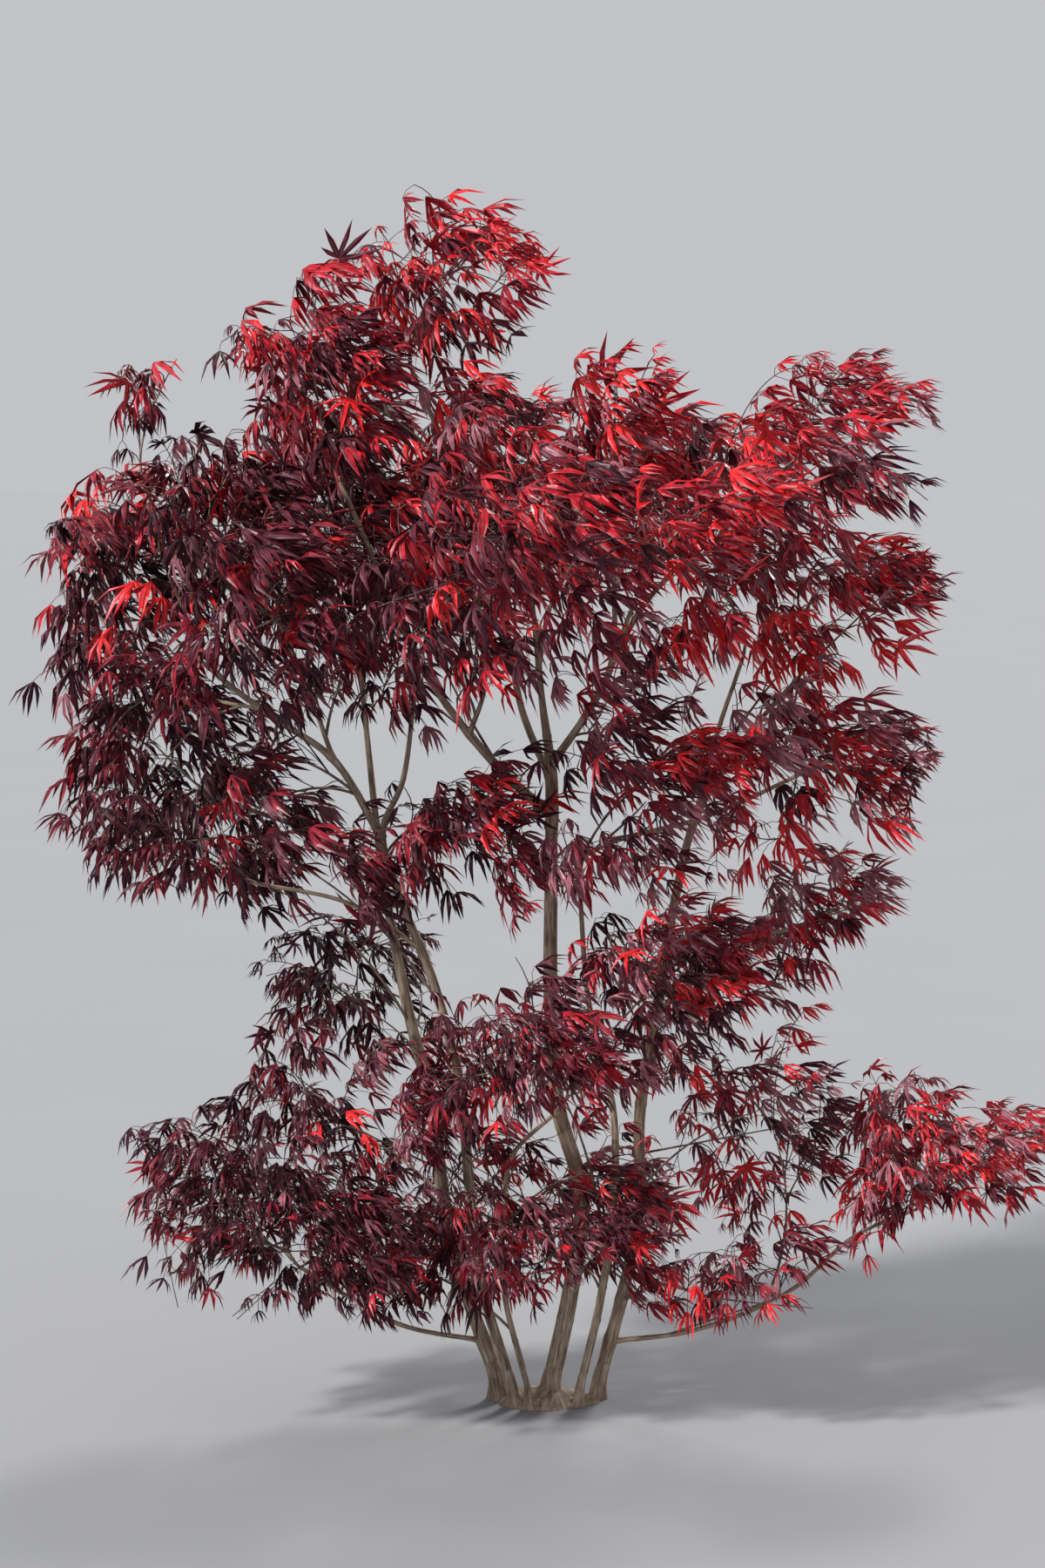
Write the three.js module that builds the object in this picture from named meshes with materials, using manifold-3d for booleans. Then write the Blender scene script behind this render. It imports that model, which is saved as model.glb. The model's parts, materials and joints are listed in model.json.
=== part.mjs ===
// Young Japanese maple grown as a clump: six slim stems rise from one flared foot, fork into
// tapering boughs and carry masses of narrow, drooping, purple-red leaves.
// Millimetres, +Z up, origin on the ground under the foot, front of the plant towards -Y.
import * as THREE from "three";
import { mergeVertices } from "three/addons/utils/BufferGeometryUtils.js";
import Module from "manifold-3d";

const wasm = await Module();
wasm.setup();

// Driving dimensions
const GAP = 0.3; // between two pieces that meet
const GAP_ROUND = 0.34; // the same on a many-sided tube, whose flats lie inside its circle
const CLEAR_OF_LIMB = 1.5; // from a leaf or twig to any limb
const CLEAR_OF_WALL = 0.8; // from a leaf or twig to the wall of its mass's space
const STEM_SIDES = 7;
const BOUGH_SIDES = 6;
const STEM_STEP = 85; // length of one straight piece of a stem
const BOUGH_STEP = 75;

const FINEST = 0.05; // facets finer than this, left where pieces join, are taken out
const ROUND_TO = 1000; // parts of a millimetre to which corners may be rounded

// Root flare
const FLARE_TOP = 60; // where each foot turns into its stem
const STOOL_HALF = new THREE.Vector3(84, 50, 26); // the low mound that joins the feet
const FOOT_FLARE = 1.75; // foot's girth at the ground, in stem girths
const FOOT_MIDDLE_FLARE = 1.25;
const FOOT_GATHER = 0.86; // how far in the feet stand at the ground, beside their place at the top
const BELOW_GROUND = 30; // roughing depth that the flat cut takes off

// Leaves, larger than life: each stands for a leaf and its near neighbours
const LEAF_TOTAL = 355;
const LEAF_LENGTH = 152;
const FULL_REACH = 160; // a mass of this mean reach has leaves of full length, a smaller one shorter
const SHORTEST_LEAF = 0.76; // of full length
const LEAF_LENGTH_SPREAD = 0.16; // up or down, as a share
// Shape of a leaf, in shares of its length
const LEAF_THICK = 0.03;
const HEART = 0.2; // where the lobes meet
const SIDE_LOBE = 0.86;
const NOTCH = 0.32;
const LOBE_TURN = 0.92; // of a side lobe from the end lobe
const NOTCH_TURN = 0.44;
const SIDE_DROOP = 0.24;
const END_DROOP = 0.1;
// How leaves hang
const SWEEP = new THREE.Vector3(0.6, -0.05, -0.66); // downwards, blown to the right
const OUTWARD = 0.3; // how much a leaf also points away from the middle of its mass
const JITTER = 0.42;
const INWARD_TRIES = [0, 0.35, 0.8]; // a leaf that doesn't fit is turned inwards this much
const INWARD_SHRINK = 0.2;

// Twigs
const MASS_STEM_RADIUS = 3.4; // at the root of a mass's stem on the side of a limb
const MASS_STEM_END = 2.6;
const STEM_PIECES = 5;
const STEM_BEND = 0.45; // how far a mass's stem keeps its limb's heading
const STEM_REACH = 0.45; // how far it runs on past the middle, as a share of the reach
const TWIG_FORK = 0.55; // where along a twig the next one may leave it
const SHORTEST_TWIG = 18;
const SUNK_SHARE = 0.48; // a root's radius beside what it is sunk into, to lie inside its three flats
const ROOT_ROOM = 16; // near its root a twig may touch its neighbours
const PLACES_PER_LEAF = 30; // places looked at for each leaf wanted
const OVERHANG = 1.14; // how far leaves may hang out of their mass's reach, where no wall stops them
const FILLED = 0.95; // share of the reach in which leaves have their middles
const SEED = 1000;
const SEED_TRIES = 6;
const SEED_STEP = 100;

// Stems: the middle of each at a few heights, from the root flare up, and its girths evenly along it
const STEMS = {
  stem_centre: {
    through: [[17, -1, 60], [40, -10, 175], [60, -15, 340], [20, -5, 495], [10, 5, 655],
      [10, 5, 855], [10, 0, 1025], [-5, -15, 1150], [-20, -40, 1305]],
    girths: [29, 26.5, 25, 24, 23, 21, 19, 10.5, 7],
  },
  stem_left_outer: {
    through: [[-87, 25, 60], [-130, 30, 185], [-160, 30, 310], [-185, 35, 490], [-220, 45, 635],
      [-260, 55, 850], [-285, 80, 1060], [-305, 130, 1250]],
    girths: [24, 21.5, 20.5, 19, 16, 12, 9, 7],
  },
  stem_left_inner: {
    through: [[-61, -20, 60], [-95, -20, 175], [-120, -20, 350], [-135, -20, 520], [-180, -30, 700],
      [-230, -35, 830], [-258, -40, 935], [-225, -60, 1020], [-205, -95, 1155]],
    girths: [17, 15.5, 16.5, 16, 15, 13, 9, 7],
  },
  stem_right_slim: {
    through: [[64, -31, 60], [90, -40, 180], [110, -50, 335], [110, -55, 485], [70, -60, 665],
      [55, -75, 850]],
    girths: [14, 12.5, 12, 10.5, 8.5, 7],
  },
  stem_right: {
    through: [[98, 26, 60], [125, 30, 160], [155, 40, 305], [155, 45, 465], [180, 55, 620],
      [215, 70, 830], [245, 80, 945], [310, 90, 1055], [395, 100, 1155]],
    girths: [22, 19.5, 18.5, 19, 17, 15, 13, 9.5, 7],
  },
  stem_front: {
    through: [[-33, -50, 60], [-65, -75, 205], [-65, -95, 350], [-50, -105, 430], [20, -130, 505]],
    girths: [11, 9, 8, 7, 6.5],
  },
};

// Boughs: the limb each one leaves, at what share of its length, the points it runs through, its girths
const BOUGHS = {
  bough_left_high: {
    from: "stem_centre", at: 0.725,
    through: [[-30, -10, 995], [-110, -30, 1080], [-190, -55, 1195], [-270, -70, 1375], [-325, -65, 1500]],
    girths: [17, 13.5, 10.5, 8.5, 7],
  },
  bough_centre_left: {
    from: "bough_left_high", at: 0.29,
    through: [[-95, -90, 1170], [-100, -170, 1275]],
    girths: [8.5, 7, 6],
  },
  bough_leader: {
    from: "stem_centre", at: 0.765,
    through: [[-35, 40, 1120], [-60, 70, 1240], [-110, 60, 1425], [-210, 10, 1665]],
    girths: [12.5, 10, 8.5, 7],
  },
  bough_right_high: {
    from: "stem_centre", at: 0.785,
    through: [[65, -15, 1120], [105, -20, 1200], [110, 10, 1370]],
    girths: [13, 11.5, 9, 7],
  },
  bough_right_high_outer: {
    from: "bough_right_high", at: 0.43,
    through: [[150, -40, 1290], [265, -50, 1415]],
    girths: [8, 7, 6],
  },
  bough_right_inner: {
    from: "stem_right", at: 0.77,
    through: [[275, 20, 1085], [310, -60, 1210]],
    girths: [9, 8, 6.5],
  },
  bough_long_right: {
    from: "stem_centre", at: 0.645,
    through: [[105, -40, 920], [255, -70, 965], [445, -90, 1055]],
    girths: [9, 7.5, 6],
  },
  bough_lower_right: {
    from: "stem_right", at: 0.5,
    through: [[295, 30, 735], [415, 25, 780]],
    girths: [7, 6, 5.5],
  },
  bough_low_far_right: {
    from: "stem_right", at: 0.03,
    through: [[245, -20, 125], [395, -60, 200], [495, -70, 290], [590, -60, 330]],
    girths: [8.5, 7.5, 6.5, 5.5],
  },
  bough_low_right: {
    from: "stem_right", at: 0.09,
    through: [[190, -25, 200], [245, -85, 200]],
    girths: [6.5, 6, 5.5],
  },
  bough_left_long: {
    from: "stem_left_inner", at: 0.785,
    through: [[-335, -60, 1055], [-430, -80, 1125], [-525, -80, 1205], [-550, -70, 1305]],
    girths: [12.5, 11, 9, 7],
  },
  bough_left_rise: {
    from: "bough_left_long", at: 0.3,
    through: [[-370, -120, 1170], [-405, -190, 1270]],
    girths: [8.5, 7, 6],
  },
  bough_left_arm: {
    from: "bough_left_long", at: 0.58,
    through: [[-530, -50, 1150], [-630, -20, 1185]],
    girths: [6.5, 6, 5.5],
  },
  bough_left_shoot: {
    from: "bough_left_long", at: 0.78,
    through: [[-600, -10, 1355], [-640, 20, 1500]],
    girths: [6.5, 6, 5.5],
  },
  bough_left_lower: {
    from: "stem_left_outer", at: 0.66,
    through: [[-355, 60, 915], [-515, 60, 975]],
    girths: [11, 9, 7],
  },
  bough_left_low: {
    from: "stem_left_inner", at: 0.62,
    through: [[-310, -60, 825], [-460, -110, 865]],
    girths: [8.5, 7, 6],
  },
  bough_low_left: {
    from: "stem_left_outer", at: 0.03,
    through: [[-230, -30, 135], [-320, -70, 195], [-390, -90, 245]],
    girths: [8.5, 7.5, 6.5],
  },
  bough_back_centre: {
    from: "bough_leader", at: 0.33,
    through: [[-80, 200, 1335], [-95, 330, 1400]],
    girths: [8, 7, 6],
  },
  bough_back_right: {
    from: "bough_right_high", at: 0.56,
    through: [[170, 150, 1335], [240, 290, 1385]],
    girths: [8, 7, 6],
  },
  bough_front_centre: {
    from: "stem_centre", at: 0.91,
    through: [[5, -170, 1295], [35, -310, 1370]],
    girths: [7.5, 7, 6],
  },
};

// Masses of leaves: the limb that carries each, at its tip or at a share of its length, the middle
// of its space, how far it reaches from there along X, Y and Z, and its own seed where its place
// in the list isn't its seed
const MASSES = {
  leaves_top: { on: "bough_leader", centre: [-140, -10, 1795], reach: [165, 155, 158], seed: 64 },
  leaves_upper_left: { on: "bough_left_high", centre: [-352, -60, 1630], reach: [182, 190, 155] },
  leaves_top_shoot_left: { on: "bough_left_shoot", centre: [-600, 20, 1630], reach: [100, 100, 128] },
  leaves_left_upper: { on: "bough_left_long", centre: [-505, -60, 1460], reach: [165, 190, 140] },
  leaves_far_left: { on: "bough_left_arm", centre: [-702, -10, 1312], reach: [114, 170, 188] },
  leaves_left_middle: { on: "bough_left_rise", centre: [-430, -260, 1290], reach: [185, 185, 150] },
  leaves_left_lobe: { on: "bough_left_lower", centre: [-605, 40, 1060], reach: [198, 215, 160] },
  leaves_left_lower: { on: "bough_left_low", centre: [-480, -120, 905], reach: [245, 185, 100] },
  leaves_left_low: { on: "stem_left_outer", at: 0.5, centre: [-280, 130, 665], reach: [180, 250, 130] },
  leaves_back_left: { on: "stem_left_outer", centre: [-350, 330, 1385], reach: [240, 220, 200] },
  leaves_centre_middle: { on: "bough_centre_left", centre: [-105, -330, 1340], reach: [170, 165, 165], seed: 50 },
  leaves_centre_left: { on: "stem_left_inner", centre: [-210, -130, 1268], reach: [140, 130, 185] },
  leaves_centre_upper: { on: "stem_centre", centre: [-70, -110, 1530], reach: [160, 155, 160] },
  leaves_back_centre: { on: "bough_back_centre", centre: [-70, 430, 1470], reach: [190, 180, 190] },
  leaves_front_centre: { on: "bough_front_centre", centre: [30, -430, 1365], reach: [175, 170, 170] },
  leaves_right_centre: { on: "bough_right_high", centre: [110, 0, 1585], reach: [130, 170, 168] },
  leaves_back_right: { on: "bough_back_right", centre: [290, 390, 1470], reach: [210, 200, 190] },
  leaves_right_upper: { on: "bough_right_high_outer", centre: [415, -60, 1540], reach: [225, 195, 155], seed: 61 },
  leaves_right_middle: { on: "bough_right_inner", centre: [230, -250, 1330], reach: [165, 190, 175] },
  leaves_right_outer: { on: "stem_right", centre: [500, 80, 1262], reach: [175, 200, 150] },
  leaves_right_lower: { on: "bough_long_right", centre: [460, -90, 1025], reach: [175, 200, 138] },
  leaves_inner_right: { on: "stem_right_slim", centre: [145, -200, 1005], reach: [160, 165, 200] },
  leaves_right_low: { on: "bough_lower_right", centre: [472, 20, 800], reach: [188, 165, 100] },
  leaves_right_inner_low: { on: "stem_right_slim", at: 0.68, centre: [182, -150, 722], reach: [150, 150, 102] },
  leaves_back_low_right: { on: "stem_right", at: 0.47, centre: [330, 300, 655], reach: [150, 190, 115] },
  leaves_centre_lower: { on: "stem_centre", at: 0.66, centre: [-100, -135, 925], reach: [130, 130, 122] },
  leaves_front_low: { on: "stem_front", centre: [0, -240, 592], reach: [190, 155, 108] },
  leaves_right_low_middle: { on: "stem_right", at: 0.3, centre: [345, -40, 455], reach: [200, 190, 158] },
  leaves_far_low_right: { on: "bough_low_far_right", centre: [655, -50, 395], reach: [205, 165, 112], seed: 69 },
  leaves_low_right: { on: "bough_low_right", centre: [370, -150, 200], reach: [125, 145, 100] },
  leaves_low_centre: { on: "stem_centre", at: 0.09, centre: [0, -20, 262], reach: [240, 260, 130], seed: 69 },
  leaves_low_left: { on: "bough_low_left", centre: [-410, -100, 305], reach: [285, 200, 135], seed: 61 },
  leaves_low_left_upper: { on: "stem_left_outer", at: 0.27, centre: [-335, -20, 470], reach: [228, 195, 112] },
};

// Colours: weathered olive-brown bark, and leaves from maroon to wine red
const BARK = 0x84735d;
const LEAF_COLOURS = [0x5d1622, 0x74182a, 0x8a1f2f, 0x6a2334, 0x9c2430];

const vector = ([x, y, z]) => new THREE.Vector3(x, y, z);
const lerp = THREE.MathUtils.lerp;

// Seeded random numbers from 0 to 1
function seeded(seed) {
  let state = seed >>> 0;
  return () => {
    state = (state + 0x6d2b79f5) >>> 0;
    let mixed = Math.imul(state ^ (state >>> 15), state | 1);
    mixed ^= mixed + Math.imul(mixed ^ (mixed >>> 7), mixed | 61);
    return ((mixed ^ (mixed >>> 14)) >>> 0) / 4294967296;
  };
}

// A closed geometry as a solid that can be joined and cut
function solidOf(geometry) {
  const bare = geometry.clone();
  bare.deleteAttribute("normal");
  bare.deleteAttribute("uv");
  const merged = mergeVertices(bare, 1e-4);
  return new wasm.Manifold(
    new wasm.Mesh({
      numProp: 3,
      vertProperties: new Float32Array(merged.attributes.position.array),
      triVerts: new Uint32Array(merged.index.array),
    }),
  );
}

// A solid as a geometry, with one vertex at each corner
function geometryOf(solid) {
  const { vertProperties, triVerts, numProp } = solid.getMesh();
  const corners = new Float32Array((vertProperties.length / numProp) * 3);
  for (let i = 0; i * 3 < corners.length; i++) {
    corners.set(vertProperties.subarray(i * numProp, i * numProp + 3), i * 3);
  }
  const geometry = new THREE.BufferGeometry();
  geometry.setAttribute("position", new THREE.BufferAttribute(corners, 3));
  geometry.setIndex(new THREE.BufferAttribute(triVerts, 1));
  geometry.computeVertexNormals();
  return geometry;
}

// A tapered many-sided tube through the points, its flat ends square to its path
function tube(points, radii, sides) {
  const last = points.length - 1;
  const corners = [];
  const faces = [];
  let side = new THREE.Vector3(0, 1, 0.2);
  points.forEach((point, i) => {
    const ahead = points[Math.min(i + 1, last)].clone().sub(points[Math.max(i - 1, 0)]).normalize();
    if (i === 0 && Math.abs(ahead.dot(side)) > 0.9) side = new THREE.Vector3(1, 0, 0);
    side = side.clone().addScaledVector(ahead, -side.dot(ahead)).normalize();
    const across = ahead.clone().cross(side);
    for (let k = 0; k < sides; k++) {
      const turn = (2 * Math.PI * k) / sides;
      const corner = point.clone().addScaledVector(side, radii[i] * Math.cos(turn));
      corners.push(...corner.addScaledVector(across, radii[i] * Math.sin(turn)));
    }
  });
  for (let i = 0; i < last; i++) {
    for (let k = 0; k < sides; k++) {
      const low = i * sides + k;
      const lowNext = i * sides + ((k + 1) % sides);
      faces.push(low, lowNext, lowNext + sides, low, lowNext + sides, low + sides);
    }
  }
  for (let k = 1; k < sides - 1; k++) {
    faces.push(0, k + 1, k);
    faces.push(last * sides, last * sides + k, last * sides + k + 1);
  }
  const geometry = new THREE.BufferGeometry();
  geometry.setAttribute("position", new THREE.Float32BufferAttribute(corners, 3));
  geometry.setIndex(faces);
  return solidOf(geometry);
}

// Radius at a share of a limb's length, from girths spread evenly along it
function radiusAt(girths, share) {
  const place = share * (girths.length - 1);
  const low = Math.min(Math.floor(place), girths.length - 2);
  return lerp(girths[low], girths[low + 1], place - low) / 2;
}

// The point at a share of a path whose points are evenly spaced
function pointOn(path, share) {
  const place = share * (path.length - 1);
  const low = Math.min(Math.floor(place), path.length - 2);
  return path[low].clone().lerp(path[low + 1], place - low);
}

// One limb: its path, its girths, its solid, and a slightly fatter solid to cut or test against
function makeLimb({ from, at, through, girths }, sides, step) {
  const points = through.map(vector);
  const parent = limbs[from];
  if (parent) points.unshift(pointOn(parent.path, at));
  const curve = new THREE.CatmullRomCurve3(points, false, "centripetal");
  const pieces = Math.max(2, Math.round(curve.getLength() / step));
  const path = curve.getSpacedPoints(pieces);
  const fatter = (extra) => tube(path, path.map((_, i) => radiusAt(girths, i / pieces) + extra), sides);
  let solid = fatter(0);
  if (parent) solid = largest(solid.subtract(parent.fatter(GAP_ROUND)));
  const heading = path[pieces].clone().sub(path[pieces - 1]).normalize();
  const lean = path[1].clone().sub(path[0]).normalize();
  return { path, girths, solid, fatter, heading, lean };
}

// The root flare: a flared foot under each stem, joined by a low mound and cut flat at the ground
function makeRootFlare(stems) {
  const mound = new THREE.SphereGeometry(1, 16, 10).scale(...STOOL_HALF);
  let flare = solidOf(mound);
  for (const stem of stems) {
    const radius = radiusAt(stem.girths, 0);
    const top = stem.path[0].clone().addScaledVector(stem.lean, -GAP);
    const middle = top.clone().addScaledVector(stem.lean, -FLARE_TOP / 2);
    const bottom = new THREE.Vector3(top.x * FOOT_GATHER, top.y * FOOT_GATHER, -BELOW_GROUND);
    const radii = [radius * FOOT_FLARE, radius * FOOT_MIDDLE_FLARE, radius];
    flare = flare.add(tube([bottom, middle, top], radii, STEM_SIDES));
  }
  const depth = 4 * BELOW_GROUND;
  const soil = new THREE.BoxGeometry(600, 600, depth).translate(0, 0, -depth / 2);
  return largest(flare.subtract(solidOf(soil)));
}

// How far a mass's reach goes from its middle in a direction
function halfWidth({ reach }, direction) {
  return Math.hypot(reach[0] * direction.x, reach[1] * direction.y, reach[2] * direction.z);
}

// Each pair of masses shares one flat wall, placed between their middles by their half widths
function wallsOf(space, spaces) {
  return spaces.filter((other) => other !== space).map((other) => {
    const across = other.middle.clone().sub(space.middle);
    const apart = across.length();
    across.normalize();
    const mine = halfWidth(space, across);
    return { across, out: (apart * mine) / (mine + halfWidth(other, across)) };
  });
}

function withinWalls(space, point) {
  const from = point.clone().sub(space.middle);
  return space.walls.every(({ across, out }) => out - from.dot(across) > CLEAR_OF_WALL);
}

function withinReach(space, point, share = OVERHANG) {
  const from = point.clone().sub(space.middle);
  return Math.hypot(from.x / space.reach[0], from.y / space.reach[1], from.z / space.reach[2]) < share;
}

// The corners of a solid, to test where it lies
function cornersOf(solid) {
  const { vertProperties } = solid.getMesh();
  const corners = [];
  for (let i = 0; i < vertProperties.length; i += 3) {
    corners.push(new THREE.Vector3(...vertProperties.subarray(i, i + 3)));
  }
  return corners;
}

// The largest body of a solid, without loose scraps or sealed hollows
function largest(solid) {
  const bodies = solid.simplify(FINEST).decompose();
  return bodies.reduce((best, body) => (body.volume() > best.volume() ? body : best));
}

// Whether a solid is still closed, each edge between two faces, once its corners are rounded
function roundsWell(solid) {
  const { vertProperties, triVerts } = solid.getMesh();
  const rounded = Array.from(vertProperties, (value) => Math.round(value * ROUND_TO));
  const nameOf = (corner) => rounded.slice(3 * corner, 3 * corner + 3).join();
  const uses = new Map();
  for (let i = 0; i < triVerts.length; i += 3) {
    const face = [...triVerts.subarray(i, i + 3)].map(nameOf);
    if (new Set(face).size < 3) continue;
    for (let k = 0; k < 3; k++) {
      const edge = [face[k], face[(k + 1) % 3]].sort().join(" ");
      uses.set(edge, (uses.get(edge) ?? 0) + 1);
    }
  }
  return [...uses.values()].every((count) => count === 2);
}

// Whether two solids share any room, after a quick look at their boxes
function cross(a, b) {
  const [mine, other] = [a.boundingBox(), b.boundingBox()];
  const apart = [0, 1, 2].some((axis) => mine.min[axis] > other.max[axis] || mine.max[axis] < other.min[axis]);
  return !apart && !a.intersect(b).isEmpty();
}

// Whether a piece keeps to its space and clear of the limbs, and its free part clear of other pieces
function fits(space, piece, free, others) {
  const held = cornersOf(piece).every((corner) => withinReach(space, corner) && withinWalls(space, corner));
  return held && !cross(piece, limbGuard) && !others.some((other) => cross(free, other));
}

// Three corners round a point of a twig: one above it and one to either side
function section(point, ahead, above, radius) {
  const up = above.clone().addScaledVector(ahead, -above.dot(ahead)).normalize();
  const across = ahead.clone().cross(up);
  return [0, 1, 2].map((k) => {
    const turn = (2 * Math.PI * k) / 3;
    const corner = point.clone().addScaledVector(up, radius * Math.cos(turn));
    return corner.addScaledVector(across, radius * Math.sin(turn));
  });
}

// Faces between the sections of a three-sided stem, with a flat root
function stemFaces(sections) {
  const faces = [0, 2, 1];
  for (let i = 0; i < sections.length - 1; i++) {
    for (let k = 0; k < 3; k++) {
      const low = 3 * i + k;
      const lowNext = 3 * i + ((k + 1) % 3);
      faces.push(low, lowNext, lowNext + 3, low, lowNext + 3, low + 3);
    }
  }
  return faces;
}

function solidOfFaces(corners, faces) {
  return solidOf(new THREE.BufferGeometry().setFromPoints(corners).setIndex(faces));
}

// A twig that opens at its tip into one three-lobed leaf, its side lobes drooping
function leafyTwig(sections, tip, ahead, above, length) {
  const up = above.clone().addScaledVector(ahead, -above.dot(ahead)).normalize();
  const across = ahead.clone().cross(up);
  const spot = (turn, reach, height) => {
    const out = ahead.clone().multiplyScalar(Math.cos(turn)).addScaledVector(across, Math.sin(turn));
    return tip.clone().addScaledVector(out, reach * length).addScaledVector(up, height * length);
  };
  const heart = [spot(0, HEART, LEAF_THICK / 2), spot(0, HEART, -LEAF_THICK / 2)];
  const outline = [
    spot(LOBE_TURN, SIDE_LOBE, -SIDE_DROOP),
    spot(NOTCH_TURN, NOTCH, 0),
    spot(0, 1, -END_DROOP),
    spot(-NOTCH_TURN, NOTCH, 0),
    spot(-LOBE_TURN, SIDE_LOBE, -SIDE_DROOP),
  ];
  const faces = stemFaces(sections);
  const ridge = 3 * (sections.length - 1);
  const [right, left, top, under] = [ridge + 1, ridge + 2, ridge + 3, ridge + 4];
  const rim = [right, ...outline.map((_, i) => ridge + 5 + i), left];
  for (let i = 0; i < rim.length - 1; i++) faces.push(top, rim[i], rim[i + 1], under, rim[i + 1], rim[i]);
  faces.push(top, left, ridge, top, ridge, right, under, right, left);
  return solidOfFaces([...sections.flat(), ...heart, ...outline], faces);
}

// The direction in which a leaf hangs from a point of its mass
function hangs(space, point, random) {
  const outward = point.clone().sub(space.middle).normalize();
  const shake = new THREE.Vector3(random() - 0.5, random() - 0.5, random() - 0.5);
  return SWEEP.clone().addScaledVector(outward, OUTWARD).addScaledVector(shake, JITTER).normalize();
}

// Leaves to hang at places spread evenly through a mass's space, from the steps of an irrational
// spiral in three ways: the tip of each one's twig, the way it hangs and its length
function hungPlaces(space, random) {
  const golden = 1.2207440846;
  const start = [random(), random(), random()];
  const hung = [];
  for (let k = 1; k < PLACES_PER_LEAF * space.leaves; k++) {
    const unit = start.map((s, axis) => 2 * ((s + k / golden ** (axis + 1)) % 1) - 1);
    const place = vector(unit).multiply(vector(space.reach)).add(space.middle);
    const hang = hangs(space, place, random);
    const length = space.leafLength * (1 + LEAF_LENGTH_SPREAD * (2 * random() - 1));
    const tip = place.clone().addScaledVector(hang, -length / 2);
    const end = place.clone().addScaledVector(hang, length / 2);
    if (!withinReach(space, place, FILLED)) continue;
    if ([tip, end].every((point) => withinReach(space, point) && withinWalls(space, point))) {
      hung.push({ tip, hang, length });
    }
  }
  return hung;
}

// How ill a twig to a tip would leave a node: its length, more so where it turns back
function twigCost({ point, ahead }, tip) {
  const way = tip.clone().sub(point);
  return way.length() * (1.6 - way.clone().normalize().dot(ahead));
}

// The stem of a mass, from the tip or the side of its limb through the middle of the space
function massStem(space) {
  const { limb, at, middle } = space;
  const onTip = at === undefined;
  const limbEnd = limb.path[limb.path.length - 1];
  const start = onTip ? limbEnd.clone().addScaledVector(limb.heading, GAP) : pointOn(limb.path, at);
  const outward = middle.clone().sub(start);
  const heading = onTip ? limb.heading : outward.clone().normalize();
  const bend = start.clone().addScaledVector(heading, outward.length() * STEM_BEND);
  const end = middle.clone().addScaledVector(outward.normalize(), halfWidth(space, outward) * STEM_REACH);
  const curve = new THREE.QuadraticBezierCurve3(start, bend, end);
  const rootRadius = onTip ? radiusAt(limb.girths, 1) : MASS_STEM_RADIUS;
  const nodes = curve.getPoints(STEM_PIECES).map((point, i) => {
    const share = i / STEM_PIECES;
    return { point, ahead: curve.getTangent(share), radius: lerp(rootRadius, MASS_STEM_END, share) };
  });
  if (nodes.slice(1).some(({ point }) => !withinWalls(space, point))) {
    throw new Error(space.name + ": its stem leaves its space");
  }
  const up = new THREE.Vector3(0, -0.6, 0.8);
  const sections = nodes.map(({ point, ahead, radius }) => section(point, ahead, up, radius));
  const faces = stemFaces(sections);
  const last = 3 * STEM_PIECES;
  faces.push(last, last + 1, last + 2);
  let solid = solidOfFaces(sections.flat(), faces);
  if (!onTip) solid = largest(solid.subtract(limb.fatter(GAP_ROUND)));
  return { nodes: nodes.slice(1), solid, start };
}

// A twig with its leaf, which is turned towards the middle of the space until both fit, or null
function fittedTwig(space, parent, tip, hang, above, length, parts) {
  const way = tip.clone().sub(parent.point).normalize();
  const inner = space.middle.clone().sub(tip).normalize();
  const radius = parent.radius * SUNK_SHARE;
  const clearFrom = parent.point.clone().addScaledVector(way, ROOT_ROOM);
  const [root, clearRoot, end] = [parent.point, clearFrom, tip].map((p) => section(p, way, above, radius));
  for (const inward of INWARD_TRIES) {
    const ahead = hang.clone().addScaledVector(inner, inward).normalize();
    const size = length * (1 - INWARD_SHRINK * inward);
    const solid = leafyTwig([root, end], tip, ahead, above, size);
    const free = leafyTwig([clearRoot, end], tip, ahead, above, size);
    if (fits(space, solid, free, parts)) {
      return { solid, node: { point: parent.point.clone().lerp(tip, TWIG_FORK), ahead: way, radius } };
    }
  }
  return null;
}

// One mass: a stem, and twigs with their leaves that leave it or each other towards evenly spread
// places; a twig that would leave the space or touch a limb is skipped
function growMass(space, random) {
  const { nodes, solid: stem, start } = massStem(space);
  const parts = [stem];
  const hung = hungPlaces(space, random);
  while (hung.length && parts.length <= space.leaves) {
    const missing = Math.ceil(space.leaves + 1 - parts.length);
    const round = hung.splice(0, missing).sort((a, b) => a.tip.distanceTo(start) - b.tip.distanceTo(start));
    for (const { tip, hang, length } of round) {
      const above = new THREE.Vector3(random() - 0.5, random() - 0.75, 1);
      const parent = nodes.reduce((best, node) => (twigCost(node, tip) < twigCost(best, tip) ? node : best));
      if (tip.distanceTo(parent.point) < SHORTEST_TWIG) continue;
      const grown = fittedTwig(space, parent, tip, hang, above, length, parts);
      if (!grown) continue;
      parts.push(grown.solid);
      nodes.push(grown.node);
    }
  }
  return largest(wasm.Manifold.union(parts));
}

// A mass grown from its own seed, or from a later one where the first doesn't make a sound solid
function makeMass(space) {
  for (let attempt = 0; attempt < SEED_TRIES; attempt++) {
    const solid = growMass(space, seeded(space.seed + attempt * SEED_STEP));
    if (roundsWell(solid)) return solid;
  }
  throw new Error(space.name + " makes no sound solid");
}

function named(name, solid, colour, roughness) {
  const material = new THREE.MeshStandardMaterial({ color: colour, roughness, metalness: 0 });
  const mesh = new THREE.Mesh(geometryOf(solid), material);
  mesh.name = name;
  return mesh;
}

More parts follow.
